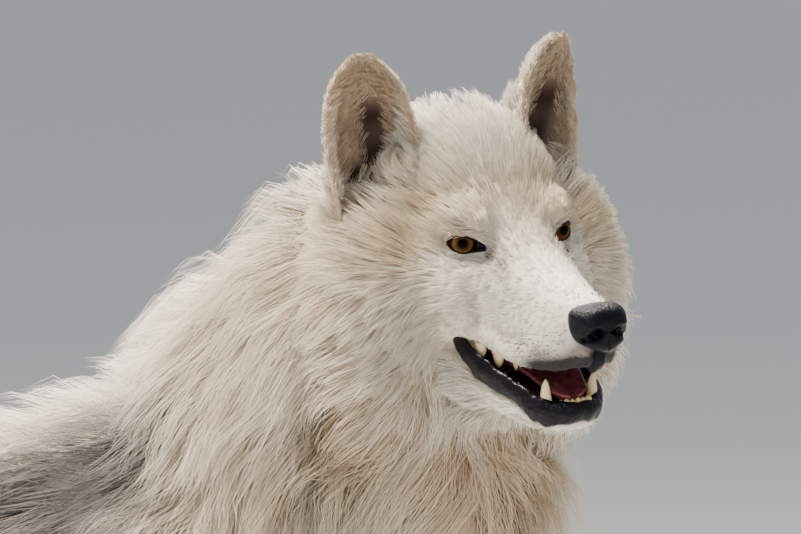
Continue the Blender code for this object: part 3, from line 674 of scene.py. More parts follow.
def out_of_slit(along, up, out, side):
    middle_point, axes = eye_plane(side)
    return np.stack([along, up, out], 1) @ axes + middle_point


HALF_SLIT = 1.36
UPPER_LID, LOWER_LID = 0.66, 0.50  # how far the lids open from the slit's line
LID_GAP = 0.07  # between the eyeball and the lids
BARE_RIM = 0.06  # round the slit, free of tufts


def lid_height(along, upper):
    """How far the lid's edge stands from the slit's line."""
    s = np.clip(np.abs(along) / HALF_SLIT, 0, 1)
    shape = np.maximum(1 - s ** np.where(along < 0, 1.25, 2.0), 0) ** 0.85
    lean = 1 + 0.22 * along / HALF_SLIT
    return np.where(upper, UPPER_LID, -LOWER_LID) * shape * lean


def from_slit(head, side):
    """How far points in the head's frame are from the eye's opening, and how far out of its plane."""
    along, up, out = to_slit(head, side)
    edge = np.where(up > 0, lid_height(along * 0.86, True), -lid_height(along * 0.86, False))
    away = np.hypot(np.maximum(np.abs(along) - HALF_SLIT, 0), np.maximum(np.abs(up) - np.maximum(edge, 0), 0))
    return away, out


def slits(head):
    """For each eye: how far points are from its opening, how far out of its plane, and its side."""
    return [(*from_slit(head, side), side) for side in SIDES.values()]


def lid_out(along, up, side):
    """Where the lids lie: over the eyeball, and a little sunk at the corners."""
    middle_point, axes = eye_plane(side)
    centre = axes @ (EYE_CENTRE * (1, side, 1) - middle_point)
    squared = (EYE_RADIUS + LID_GAP) ** 2 - (along - centre[0]) ** 2 - (up - centre[1]) ** 2
    ball = centre[2] + np.sqrt(np.maximum(squared, 0))
    rest = -0.10 - 0.10 * along**2
    mixed = np.logaddexp(ball * 9, rest * 9) / 9
    return np.where(squared > 0, mixed, np.maximum(rest, np.logaddexp(centre[2] * 9, rest * 9) / 9))


def with_sockets(head):
    """Skin points, in the head's frame, drawn onto the lids and sunk behind the eye's opening."""
    for side in SIDES.values():
        along, up, out = to_slit(head, side)
        away, _ = from_slit(head, side)
        near = (np.abs(out) < 2.4) & (away < 1.5)
        target = lid_out(along, up, side) + 0.03
        draw = np.where(near, 1 - smoothstep(0.15, 1.25, away), 0)
        out = out + (target - out) * draw
        inside = 1 - smoothstep(0.0, 0.14, away)
        out = np.where(near, out - inside * 0.42, out)
        head = np.where(near[:, None], out_of_slit(along, up, out, side), head)
    return head


def under_lip(head):
    """How far points in the head's frame are below the edge of the upper lip."""
    return np.interp(head[:, 0], UPPER_LIP[:, 0], UPPER_LIP[:, 2]) - head[:, 2]


def mouth_share(head):
    """1 inside the mouth, 0 outside."""
    x, y, z = head.T
    half, low = (np.interp(x, LIP_PATH[:, 0], LIP_PATH[:, k]) for k in (1, 2))
    over = np.abs(y) - np.interp(x, UPPER_LIP[:, 0], UPPER_LIP[:, 1])
    span = smoothstep(-4.5, -2.0, x) * smoothstep(11.6, 10.6, x)
    span = span * np.maximum(smoothstep(-0.45, -0.7, over), smoothstep(0.36, 0.5, under_lip(head)))
    between = smoothstep(0.1, -0.2, np.abs(y) - half) * smoothstep(low - 0.05, low + 0.2, z)
    within = smoothstep(-0.7, -1.0, np.abs(y) - half) * smoothstep(-11.7, -11.3, z)
    return np.maximum(between, within) * span * smoothstep(-6.9, -7.3, z)


def skin():
    """The skin, finest round the eyes, and the solids' outer surface for the coat to reach to."""
    core, outside = body_core()
    joined = merged([form_of(core), head_forms()])
    bpy.data.objects.remove(core)
    obj = remeshed(new_object("skin", *joined, smooth=False), SKIN_CELL)
    head = to_head(points_of(obj.data))
    on_head = smoothstep(-4, 0, (head - HEAD_CUT[0]) @ HEAD_CUT[1])
    edges = edges_of(obj.data)
    points = relaxed(points_of(obj.data), edges, 4)
    points = relaxed(points, edges, 8, weight=1 - on_head)
    set_points(obj.data, points)
    group = obj.vertex_groups.new(name="body")
    for index in np.nonzero(on_head < 0.5)[0].tolist():
        group.add([index], 1.0, "ADD")
    thin = obj.modifiers.new("thin", "DECIMATE")
    thin.ratio = BODY_DETAIL
    thin.vertex_group = "body"
    evaluated(obj)
    obj.vertex_groups.clear()
    x, y, z = to_head(points_of(obj.data)).T
    refined(obj, (x > FACE_BOX[0]) & (np.abs(y) < FACE_BOX[1]) & (z > FACE_BOX[2]) & (z < FACE_BOX[3]))
    head = to_head(points_of(obj.data))
    gaps = [np.linalg.norm(head - eye_plane(side)[0], axis=1) for side in SIDES.values()]
    refined(obj, np.minimum(*gaps) < EYE_ZONE)
    head = to_head(points_of(obj.data))
    points = relaxed(points_of(obj.data), edges_of(obj.data), 3, weight=smoothstep(-6, -3, head[:, 0]))
    set_points(obj.data, from_head(with_sockets(to_head(points))))
    obj.data.shade_smooth()
    return obj, outside


# ---------------------------------------------------------------- materials


def shader_of(name):
    made = bpy.data.materials.new(name)
    made.use_nodes = True
    return made, made.node_tree, made.node_tree.nodes["Principled BSDF"]


def set_inputs(node, values):
    for name, value in values.items():
        node.inputs[name].default_value = value


def added(tree, kind, values=None):
    """A new node, with its inputs set."""
    node = tree.nodes.new("ShaderNode" + kind)
    set_inputs(node, values or {})
    return node


def attribute(tree, name):
    node = added(tree, "Attribute")
    node.attribute_name = name
    return node


def link(tree, *links):
    """Joins the nodes; each link is (node, output, node, input)."""
    for source, output, target, socket in links:
        tree.links.new(source.outputs[output], target.inputs[socket])


def bump(tree, shader, texture, height, strength, distance):
    """Bumps the shader by an output of a texture in the object's own space."""
    lift = added(tree, "Bump", {"Strength": strength, "Distance": distance})
    link(
        tree,
        (added(tree, "TexCoord"), "Object", texture, "Vector"),
        (texture, height, lift, "Height"),
        (lift, "Normal", shader, "Normal"),
    )


def grain_bump(tree, shader, scale, strength, distance):
    bump(tree, shader, added(tree, "TexNoise", {"Scale": scale, "Detail": 4.0}), "Fac", strength, distance)


def colour_ramp(tree, stops):
    ramp = added(tree, "ValToRGB")
    elements = ramp.color_ramp.elements
    while len(elements) < len(stops):
        elements.new(0.5)
    for element, (position, colour) in zip(elements, stops):
        element.position = position
        element.color = (*colour, 1)
    return ramp


def marked_material(name, values):
    """(material, tree, shader), coloured by the coat's markings."""
    made, tree, shader = shader_of(name)
    link(tree, (attribute(tree, "markings"), "Color", shader, "Base Color"))
    set_inputs(shader, values)
    return made, tree, shader


def coat_material(name, roughness):
    values = {"Roughness": roughness, "Specular IOR Level": 0.25, "Sheen Weight": 0.25, "Sheen Roughness": 0.4}
    return marked_material(name, values)[0]


def skin_material():
    made, tree, shader = marked_material("skin", {"Specular IOR Level": 0.15})
    rough = added(tree, "MapRange", {"To Min": 0.85, "To Max": 0.22})
    link(tree, (attribute(tree, "wet"), "Fac", rough, "Value"), (rough, "Result", shader, "Roughness"))
    grain_bump(tree, shader, 900.0, 0.35, 0.0006)
    return made


def plain_material(name, colours, grain, strength, distance, values):
    """A skin or horn colour mottled with a second one, bumped at its own grain."""
    made, tree, shader = shader_of(name)
    cloud = added(tree, "TexNoise", {"Scale": grain * 0.25, "Detail": 3.0})
    ramp = colour_ramp(tree, tuple(zip((0.35, 0.68), colours)))
    link(
        tree,
        (added(tree, "TexCoord"), "Object", cloud, "Vector"),
        (cloud, "Fac", ramp, "Fac"),
        (ramp, "Color", shader, "Base Color"),
    )
    set_inputs(shader, {"Specular IOR Level": 0.3, "Coat Roughness": 0.12, "Subsurface Scale": 0.004, **values})
    grain_bump(tree, shader, grain, strength, distance)
    return made


PLAIN_LOOKS = {
    # name: two colours, grain, the bump's strength and distance, other inputs of the shader
    "black_skin": (
        ((0.002, 0.002, 0.003), (0.006, 0.004, 0.007)),
        *(420.0, 0.6, 0.0010),
        {"Roughness": 0.30, "Specular IOR Level": 0.16},
    ),
    "tongue": (
        # the tongue's red, darkened as painted shade inside the mouth, mottled with a lighter red
        ((0.10, 0.018, 0.024), (0.24, 0.052, 0.060)),
        *(700.0, 0.5, 0.0006),
        {"Roughness": 0.42, "Coat Weight": 0.12, "Subsurface Weight": 0.1},
    ),
    "gums": (
        ((0.30, 0.08, 0.09), (0.06, 0.03, 0.04)),
        *(180.0, 0.3, 0.0006),
        {"Roughness": 0.3, "Coat Weight": 0.6},
    ),
    "teeth": (
        ((0.66, 0.46, 0.20), (0.80, 0.68, 0.44)),
        *(120.0, 0.1, 0.0003),
        {"Roughness": 0.3, "Coat Weight": 0.5, "Subsurface Weight": 0.1},
    ),
    "claw": (
        ((0.09, 0.075, 0.06), (0.16, 0.13, 0.10)),
        *(300.0, 0.2, 0.0003),
        {"Roughness": 0.35, "Coat Weight": 0.3},
    ),
}


def wear(obj, material):
    obj.data.materials.clear()
    obj.data.materials.append(material)


def finish_piece(obj, material, nodes=()):
    """The piece's material and body, and the CAD nodes that it stands for, hidden."""
    wear(obj, material)
    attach(obj, "root")
    if nodes:
        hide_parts(*nodes)


def face_out(obj):
    shape = bmesh.new()
    shape.from_mesh(obj.data)
    bmesh.ops.recalc_face_normals(shape, faces=shape.faces)
    shape.to_mesh(obj.data)
    shape.free()


def head_piece(name, form, material, nodes=()):
    """A piece from (points, faces) in the head's frame."""
    obj = new_object(name, from_head(form[0]), form[1])
    face_out(obj)
    finish_piece(obj, material, nodes)


def set_colour(mesh, name, colours):
    layer = mesh.attributes.new(name, "FLOAT_COLOR", "POINT")
    full = np.ones((len(colours), 4), np.float32)
    full[:, :3] = colours
    layer.data.foreach_set("color", full.ravel())


def set_value(mesh, name, values):
    layer = mesh.attributes.new(name, "FLOAT", "POINT")
    layer.data.foreach_set("value", np.asarray(values, np.float32))


SKIN_SHADE_UNDER_COAT = 0.82  # painted shade: how light the skin is beside the coat over it, kept darker so the gaps between hairs read as shadow


def ear_colours(head, colour):
    """Warm skin inside the ears' cups, with painted shade down the middle towards the canal and low in the cup."""
    for side in SIDES.values():
        height, across, radial, ahead = ear_place(head, side)
        front = smoothstep(1.3, 1.1, ahead) * (ahead > 0) * smoothstep(1.0, 0.8, np.abs(across)) * (height > 0.05)
        deeper = 0.12 * smoothstep(0.5, 0.0, height)
        cup = np.maximum(smoothstep(0.95 + deeper, 0.82 + deeper, radial), front) * ((height > -0.05) & (height < 1))
        # painted shade: along the canal, and low in the cup
        dark = cup * smoothstep(0.90, 0.52, height) * smoothstep(0.60, 0.12, np.abs(across - EAR_CANAL[side]))
        colour = blended(colour, EAR_SKIN, cup * 0.9)
        deep = cup * smoothstep(0.30, 0.12, height) * smoothstep(0.9, 0.4, np.abs(across))
        colour = blended(colour, EAR_CANAL_SHADE, np.maximum(dark, deep))
    return colour


def paint_skin(obj):
    points = points_of(obj.data)
    head = to_head(points)
    coat = coat_at(points)
    root, tip = coat_colours(points, coat[:, TAN_SHARE], coat[:, GREY_SHARE], coat[:, DEPTH])
    colour = blended(root, tip, 0.55 * np.ones(len(points)))
    # painted shade: the skin is kept darker than the short hairs over it, so the gaps between them read as shadow
    colour = blended(colour, tip, smoothstep(0.012, 0.004, coat[:, DEPTH]) * 0.35) * SKIN_SHADE_UNDER_COAT
    colour = ear_colours(head, colour)
    x, y, z = head.T
    mouth = mouth_share(head)
    # the mouth's inside: its red skin with painted shade over it
    colour = blended(colour, MOUTH_RED_IN_SHADE, mouth)
    lip = smoothstep(0.22, 0.34, under_lip(head)) * (x > 0.3) * (z > -8.6) * (mouth < 0.9)
    snout = smoothstep(11.2, 11.8, x) * smoothstep(1.0, 0.6, np.abs(y)) * smoothstep(-5.2, -5.8, z)
    rims = [smoothstep(0.20, 0.08, away) * (np.abs(out) < 1.5) for away, out, _ in slits(head)]
    black = np.maximum.reduce([*rims, snout, lip])
    colour = blended(colour, BLACK, black)
    colour = blended(colour, BLACK * 3, smoothstep(0.006, 0.002, points[:, 2]))  # the soles
    set_colour(obj.data, "markings", colour)
    set_value(obj.data, "wet", np.maximum(mouth, black * 0.8))


# ---------------------------------------------------------------- tufts


UV_PATCH = 0.003  # the share of the OFBake map's width that a tuft takes
MOST_TRIANGLES = 195000  # in a piece
FLATNESS = 0.4  # of a tuft, its thickness over its width
TAPER = 0.45  # of a tuft's width, left at its last ring
LEAST_HEIGHT = 0.001  # over the floor


def tuft_mesh(name, paths, across, widths, colours, spots, softness=0.5):
    """One mesh of closed tufts. paths is (tufts, rings + 1, 3), whose last point is the tip.

    softness is how much a tuft is lit as the coat's surface rather than as a hair.
    """
    count, rings = len(paths), paths.shape[1] - 1
    paths[..., 2] = np.maximum(paths[..., 2], LEAST_HEIGHT)
    ahead = unit(np.gradient(paths, axis=1))[:, :rings]
    sideways = unit(across[:, None] - ahead * (across[:, None] * ahead).sum(2, keepdims=True))
    over = np.cross(ahead, sideways)
    profile = np.linspace(1.0, TAPER, rings)[None, :, None]
    body, facing, hard, wide = [], [], 1 - softness, widths[:, None, None]
    for k in range(3):
        angle = 2 * math.pi * k / 3 + math.pi / 2
        cos, sin = math.cos(angle), math.sin(angle)
        facing.append(over * (softness + hard * sin) + sideways * cos * hard)
        body.append(paths[:, :rings] + sideways * cos * wide * profile + over * sin * wide * FLATNESS * profile)
    body = np.stack(body, 2).reshape(count, rings * 3, 3)
    points = np.concatenate([body, paths[:, -1:]], 1)
    facing = np.stack(facing, 2).reshape(count, rings * 3, 3)
    facing = unit(np.concatenate([facing, over[:, -1:]], 1)).reshape(-1, 3)
    pattern = [(0, 2, 1)]
    for i in range(rings):
        for k in range(3):
            a, b = i * 3 + k, i * 3 + (k + 1) % 3
            pattern += [(a, b, b + 3), (a, b + 3, a + 3)] if i < rings - 1 else [(a, b, rings * 3)]
    size = rings * 3 + 1
    faces = (np.array(pattern)[None] + (np.arange(count) * size)[:, None, None]).reshape(-1, 3)
    mesh = bpy.data.meshes.new(name)
    mesh.vertices.add(count * size)
    mesh.loops.add(len(faces) * 3)
    mesh.polygons.add(len(faces))
    mesh.vertices.foreach_set("co", points.astype(np.float32).ravel())
    mesh.loops.foreach_set("vertex_index", faces.astype(np.int32).ravel())
    mesh.polygons.foreach_set("loop_start", np.arange(0, len(faces) * 3, 3, dtype=np.int32))
    mesh.update(calc_edges=True)
    mesh.shade_smooth()
    mesh.normals_split_custom_set_from_vertices(facing.tolist())
    layer = mesh.uv_layers.new(name="OFBake")
    patch = [(k / 2, i / rings) for i in range(rings) for k in range(3)]
    patch = (np.array([*patch, (0.5, 1.0)]) - 0.5) * UV_PATCH
    uv = (np.clip(spots, UV_PATCH, 1 - UV_PATCH)[:, None] + patch[None]).reshape(-1, 2)
    layer.data.foreach_set("uv", uv[faces.ravel()].astype(np.float32).ravel())
    set_colour(mesh, "markings", colours.reshape(-1, 3))
    return placed(name, mesh)


def unwrapped(points, axis_points):
    """(round the axis, along it), each 0 to 1, of points about a bent axis."""
    axis_points = np.asarray(axis_points, float)
    best = np.full(len(points), 1e9)
    uv = np.zeros((len(points), 2))
    lengths = np.linalg.norm(np.diff(axis_points, axis=0), axis=1)
    starts = np.concatenate([[0], np.cumsum(lengths)])
    for i, (a, b) in enumerate(zip(axis_points[:-1], axis_points[1:])):
        way = unit(b - a)
        t = (points - a) @ way
        held = np.clip(t, 0 if i else -1, lengths[i] if i < len(lengths) - 1 else 9)
        foot = a + held[:, None] * way
        gap = points - foot
        distance = np.linalg.norm(gap, axis=1)
        side = unit(np.cross(way, [0.02, 1.0, 0.01]))
        other = np.cross(way, side)
        angle = np.arctan2(gap @ other, gap @ side) / (2 * math.pi) + 0.5
        nearer = distance < best
        best = np.where(nearer, distance, best)
        uv[nearer, 0] = angle[nearer]
        uv[nearer, 1] = starts[i] + held[nearer]
    return uv


def spread(values):
    """Each column scaled to fill 0 to 1."""
    low, high = values.min(0), values.max(0)
    return (values - low) / np.maximum(high - low, 1e-9)


class Ground:
    """A surface for tufts to grow on and follow."""

    def __init__(self, points, triangles, kept=slice(None)):
        self.points, self.normals = points, normals_of(points, triangles)
        self.triangles = triangles[kept]
        self.tree = BVHTree.FromPolygons(self.points.tolist(), self.triangles.tolist())

    def scattered(self, weight, count):
        """Random places: (points, normals)."""
        a, b, c = (self.points[self.triangles[:, k]] for k in range(3))
        area = np.linalg.norm(crosses(self.points, self.triangles), axis=1) * weight
        chosen = RNG.choice(len(self.triangles), count, p=area / area.sum())
        r, s = RNG.random((2, count))
        flip = r + s > 1
        r, s = np.where(flip, 1 - r, r), np.where(flip, 1 - s, s)
        place = a[chosen] + (b - a)[chosen] * r[:, None] + (c - a)[chosen] * s[:, None]
        return place, unit(self.normals[self.triangles[chosen]].mean(1))

    def nearest(self, points):
        spots, indices = np.empty_like(points), np.empty(len(points), int)
        for k, point in enumerate(points.tolist()):
            spot, _, index, _ = self.tree.find_nearest(point)
            spots[k], indices[k] = spot, index
        return spots, unit(self.normals[self.triangles[indices]].mean(1))


def turned(way, normals, swing):
    """The way along the surface, swung about the normal."""
    way = unit(way - normals * (way * normals).sum(1, keepdims=True))
    side = np.cross(normals, way)
    return way * np.cos(swing)[:, None] + side * np.sin(swing)[:, None]


ROOT_SINK = 0.0012  # how far under the skin a hair starts
LEAST_RUN = 0.3  # of a hair's length, along the skin
STRAYS, STRAY_GATHER = 0.12, 0.45  # the share of hairs that stray, and how much of the gathering they take


def round_eyes(points, way):
    """The way turned aside where it would run onto an eye, and how short hair is there."""
    head, turned_way = to_head(points), way @ TURN
    short = np.ones(len(points))
    for away, out, side in slits(head):
        near = (1 - smoothstep(0.3, 1.6, away)) * (np.abs(out) < 2.0)
        towards = unit(eye_plane(side)[0] - head)
        run = np.maximum((turned_way * towards).sum(1), 0) * near
        turned_way = turned_way - towards * (1.25 * run)[:, None]
        short = np.minimum(short, 1 - 0.35 * near)
    return turned_way @ TURN.T, short


def under_back_line(points):
    """Points over the back's line drawn most of the way down to it, less to the sides and on the neck."""
    x, y, z = (points - SHIFT).T
    aside = np.abs(y)
    top = np.interp(x, BACK_LINE[:, 0], BACK_LINE[:, 1]) - BACK_FALL * np.minimum(aside, BACK_HALF) ** 2
    over = np.maximum(z - top, 0) * (x > BACK_LINE[0, 0]) * smoothstep(0.28, 0.20, x) * smoothstep(0.15, 0.08, aside)
    return points - np.stack([0 * over, 0 * over, DRAWN_DOWN * over], 1)


def followed(ground, places, normals, values, depth, length, steps, swing, rise, fixed, ceiling):
    """Lines that leave the places and follow the surface: (lines, sides, normals), each by step."""
    lines, sides, ups = [places - normals * ROOT_SINK], [], [normals]
    spot, way = places, values[:, LIE]
    for k in range(1, len(steps)):
        way = turned(way if fixed else round_eyes(spot, way)[0], normals, swing)
        sides.append(np.cross(normals, way))
        before, after = (1 - (1 - steps[j]) ** rise for j in (k - 1, k))
        climb = depth * (after - before)
        piece = length * (steps[k] - steps[k - 1])
        run = np.sqrt(np.maximum(piece**2 - climb**2, (LEAST_RUN * piece) ** 2))
        spot, normals = ground.nearest(spot + way * run[:, None])
        height = depth * after if ceiling is None else np.minimum(depth * after, ceiling(spot))
        top = spot + normals * height[:, None]
        lines.append(top if ceiling is None else under_back_line(top))
        ups.append(normals)
        way = values[:, LIE] if fixed else coat_at(spot)[:, LIE]
    sides.append(sides[-1])
    return (np.stack(group, 1) for group in (lines, sides, ups))


def blocked(lines):
    """Which lines cross an eye, the mouth or the nose."""
    head = to_head(lines.reshape(-1, 3))
    shut = (mouth_share(head) > 0.25) | ((head[:, 0] > 11.9) & (np.abs(head[:, 1]) < 1.9) & (head[:, 2] > -5.5))
    for away, out, _ in slits(head):
        shut |= (away < 0.02) & (np.abs(out) < 1.5)
    return shut.reshape(lines.shape[:2]).any(1)


DEPTHS, LENGTHS, WIDTHS = (0.72, 1.04), (0.75, 1.1), (0.75, 1.25)  # least and most, over the kind's own
LAST_RING = 0.74  # of a hair's length
WAVE = 0.02  # of a hair's length, how far it waves


def grow(ground, places, normals, values, kind, depth=None, fixed=False, ceiling=None):
    """The hairs of the locks at the places, as tuft_mesh takes them; fixed keeps to the values' lie.

    A ceiling tells how high a hair may stand over a point of the skin.
    """
    per_lock, radius, rings, width, gather, wander, rise = kind
    locks = len(places)
    depth = values[:, DEPTH] if depth is None else depth
    swing = (noise(places, 16.0, 5) - 0.5) * 2.2 * wander + RNG.normal(0, 0.5 * wander, locks)
    own_depth = depth * RNG.uniform(*DEPTHS, locks)
    length = depth * values[:, RATIO] * RNG.uniform(*LENGTHS, locks)
    if not fixed:
        length = length * round_eyes(places, values[:, LIE])[1]
    steps = np.concatenate([np.linspace(0, LAST_RING, rings), [1.0]])
    lines, sides, ups = followed(
        ground, places, normals, values, own_depth, length, steps, swing, rise, fixed, ceiling
    )
    clear = ~blocked(lines)
    own = np.repeat(np.nonzero(clear)[0], per_lock)
    count = len(own)
    angle, reach = RNG.random(count) * 2 * math.pi, np.sqrt(RNG.random(count))
    fine = np.minimum(radius, 0.25 * length + 0.0006)[own]
    t = steps[None, :, None]
    stray = np.where(RNG.random(count) < STRAYS, STRAY_GATHER, 1.0)
    hold = 1 - gather * stray[:, None, None] * t**1.3
    across = (np.cos(angle) * reach * fine)[:, None, None] * hold
    over = (np.sin(angle) * reach * fine * 0.4)[:, None, None] * hold * np.minimum(t * 4, 1)
    phase = (RNG.random(locks) * 6.28)[own]
    wave = np.sin(t * 4.5 + phase[:, None, None]) * t * (length[own] * WAVE)[:, None, None]
    paths = lines[own] + sides[own] * (across + wave) + ups[own] * over
    ahead = unit(lines[:, -1] - lines[:, 0])[own]
    slide = RNG.uniform(-1, 1, count) * np.minimum(fine * 1.6, length[own] * 0.3)
    paths = paths + (ahead * slide[:, None])[:, None] * (1 - 0.4 * t)
    short = RNG.uniform(0.8, 1.0, count)
    paths[:, -1] = paths[:, -2] + (paths[:, -1] - paths[:, -2]) * short[:, None]
    root_colour, tip_colour = coat_colours(places, values[:, TAN_SHARE], values[:, GREY_SHARE], values[:, DEPTH])
    lightness = RNG.normal(0.98, 0.07, locks)[own] * RNG.normal(1.0, 0.08, count)
    # from the root's colour, which is partly painted shade deep in the coat, to the tip's
    fade = np.concatenate([np.repeat(np.linspace(0, 0.78, rings), 3), [1.0]]) ** 0.8
    colours = root_colour[own][:, None] + (tip_colour - root_colour)[own][:, None] * fade[None, :, None]
    edges = np.concatenate([np.tile(RNG.uniform(0.72, 1.10, (count, 3)), (1, rings)), np.ones((count, 1))], 1)
    colours = np.clip(colours * (lightness[:, None] * edges)[..., None], 0, 0.93)
    return {
        "paths": paths,
        "across": sides[own, 0],
        "widths": width * RNG.uniform(*WIDTHS, count),
        "colours": colours,
        "roots": paths[:, 0],
    }


def make_coat(name, grown, axis, material, softness=0.5):
    """The tufts as pieces of under 200,000 triangles, cut along the axis."""
    rings = grown["paths"].shape[1] - 1
    each = 1 + 6 * (rings - 1) + 3
    spots = unwrapped(grown["roots"], axis)
    pieces = math.ceil(len(spots) * each / MOST_TRIANGLES)
    order = np.argsort(spots[:, 1], kind="stable")
    for k, chosen in enumerate(np.array_split(order, pieces)):
        data = [grown[key][chosen] for key in ("paths", "across", "widths", "colours")]
        obj = tuft_mesh(f"{name}_{k + 1}", *data, spread(spots[chosen]), softness)
        finish_piece(obj, material)


def design(points):
    return np.asarray(points, float) + SHIFT


SPINE = design([(-0.52, 0, 0.58), (-0.3, 0, 0.58), (0.1, 0, 0.6), (0.22, 0, 0.68), (0.37, -0.08, 0.86)])
MUZZLE_AXIS = from_head([(-14, 0, -2), (-5, 0, -2), (12.5, 0, -4.5)])
TAIL_AXIS = design([(-0.5, 0, 0.64), (-0.59, 0, 0.52), (-0.615, 0.01, 0.35), (-0.6, 0.015, 0.2)])

SHORT_COAT, MUZZLE_COAT = 0.021, 0.0062  # the deepest coat of limbs and face, and of the muzzle


def regions(ground):
    """(which triangles of the skin each part of the coat grows on, their middles, which are the ears')."""
    centre = ground.points[ground.triangles].mean(1)
    normal = unit(crosses(ground.points, ground.triangles))
    head = to_head(centre)
    flat = centre - SHIFT
    x, y, z = head.T
    on_head = (head - HEAD_CUT[0]) @ HEAD_CUT[1] > 0
    depth = coat_at(centre)[:, DEPTH]
    bare = mouth_share(head) > 0.2
    bare |= (under_lip(head) > 0.30) & (z > -8.6) & (x > 1.2)
    bare |= (x > 12.3) & (np.abs(y) < 1.2) & (z > -5.3)
    for away, out, _ in slits(head):
        bare |= (away < BARE_RIM) & (np.abs(out) < 1.5)
    ear = np.zeros(len(centre), bool)
    for side in SIDES.values():
        height, _, radial, _ = ear_place(head, side)
        slack = smoothstep(0.3, 0.6, height)
        shell = (radial > 0.80 - 1.2 * slack) & (radial < 1.03 + slack)
        ear |= (height > 0.06) & (height < 1.1) & shell & (z > 3.6)
    sole = (flat[:, 2] < 0.004) | ((flat[:, 2] < 0.012) & (normal[:, 2] < -0.7))
    open_skin = ~bare & ~ear & ~sole
    tail = flat[:, 0] < -0.55
    tail |= (flat[:, 0] < -0.50) & (np.abs(flat[:, 1]) < 0.06) & (flat[:, 2] < 0.62)
    limb = (depth < SHORT_COAT) & ~on_head & ~tail
    muzzle = on_head & (depth < MUZZLE_COAT)
    face = on_head & (depth < SHORT_COAT) & ~muzzle
    mane = ~limb & ~tail & ~face & ~muzzle & (on_head | ((flat - [0.13, 0, 0.66]) @ [0.80, 0, 0.60] > 0))
    body = ~(face | muzzle | mane | limb | tail)
    found = {"muzzle": muzzle, "face": face, "mane": mane, "body": body, "limb": limb, "tail": tail}
    return {name: part & open_skin for name, part in found.items()}, centre, ear


KINDS = {
    # locks, then: hairs in a lock, its radius, rings, half width, gather, wander, rise
    "mane": (3320, (9, 0.0120, 3, 0.00042, 0.50, 0.24, 1.8)),
    "body": (1820, (9, 0.0120, 3, 0.00053, 0.50, 0.22, 1.7)),
    "tail": (380, (9, 0.0090, 3, 0.00056, 0.50, 0.20, 1.6)),
    "face": (4850, (5, 0.0030, 2, 0.00029, 0.30, 0.25, 1.9)),
    "muzzle": (3900, (4, 0.0019, 2, 0.00028, 0.10, 0.12, 1.2)),
    "limb": (2900, (4, 0.0046, 2, 0.00070, 0.20, 0.20, 1.4)),
}
DEEP = 0.013  # coats deeper than this reach out to the CAD's surface
BACK_LINE = np.array([
    # x, and how high the coat may stand there along the middle of the back
    (-0.057, 0.739),
    (-0.023, 0.751),
    (0.008, 0.777),
    (0.033, 0.778),
    (0.072, 0.803),
    (0.085, 0.819),
    (0.098, 0.854),
    (0.119, 0.864),
    (0.160, 0.867),
    (0.174, 0.878),
    (0.180, 0.905),
    (0.217, 0.936),
    (0.280, 1.000),
])
BACK_FALL = 8.0  # how far that falls to the sides, in metres for each squared metre
BACK_HALF = 0.085  # how far from the middle it goes on falling
DRAWN_DOWN = 0.85  # of what stands over the line, taken away
BUNCHES = (
    # place on the skin of the roots, and of the tips over it; how much further out the coat may stand; how wide
    (np.array([0.210, 0.0, 0.872]) + SHIFT, np.array([0.125, 0.0, 0.795]) + SHIFT, 0.060, 0.050),
    (from_head((-6.5, 10.5, -10.0)), from_head((-8.5, 11.5, -13.0)), 0.012, 0.060),
)


SHORT_FURS = ("face", "muzzle", "limb")  # these don't reach for the CAD's surface


def coat(skin_object, outside):
    """The coat's parts, each thicker where its weights say."""
    whole = Ground(points_of(skin_object.data), triangles_of(skin_object.data))
    parts, centre, ear = regions(whole)
    ground = Ground(whole.points, whole.triangles, ~ear)
    parts = {name: part[~ear] for name, part in parts.items()}
    centre = centre[~ear]
    long_fur = coat_material("coat_long", 0.6)
    short_fur = coat_material("coat_short", 0.65)

    def reach(points, at_tip=1):
        """How far the coat may stand over points of the skin; at_tip 0 is for the points that hairs grow from."""
        gap = np.array([outside.find_nearest(point)[3] for point in points.tolist()])
        for *spots, height, width in BUNCHES:
            away = (points - spots[at_tip]) * (1.0, 0.6, 0.6)
            gap = gap + height * np.exp(-(away**2).sum(1) / width**2)
        return np.maximum(gap, 0.004)

    along = (centre - SHIFT)[:, 0]
    eyes_near = [smoothstep(2.2, 0.6, away) * (np.abs(out) < 2.5) for away, out, _ in slits(to_head(centre))]
    round_eye = np.maximum(*eyes_near)
    weights = {"face": 1 + 1.6 * round_eye, "muzzle": 1 + 1.2 * round_eye}
    weights["body"] = 1.0 + 1.0 * smoothstep(-0.25, 0.02, along) + 1.3 * smoothstep(-0.30, -0.42, along)
    axes = {"tail": TAIL_AXIS, "face": MUZZLE_AXIS, "muzzle": MUZZLE_AXIS}
    for name, (locks, kind) in KINDS.items():
        places, normals = ground.scattered(parts[name] * weights.get(name, 1.0), int(locks * SHARE))
        values = coat_at(places)
        deep = smoothstep(0.5 * DEEP, DEEP, values[:, DEPTH])
        depth = np.clip(reach(places, 0), 0.35 * values[:, DEPTH], 2.3 * values[:, DEPTH])
        depth = values[:, DEPTH] + (depth - values[:, DEPTH]) * deep
        material, ceiling = (short_fur, None) if name in SHORT_FURS else (long_fur, reach)
        grown = grow(ground, places, normals, values, kind, depth, ceiling=ceiling)
        make_coat(f"coat_{name}", grown, axes.get(name, SPINE), material)
    ear_coat(whole, short_fur)


# As in KINDS: hairs in a lock, its radius, rings, half width, gather, wander, rise.
FUZZ = (4, 0.0028, 2, 0.00037, 0.15, 0.30, 1.2)
FLUFF = (5, 0.0026, 3, 0.00034, 0.40, 0.30, 1.2)
EAR_LOCKS = 660


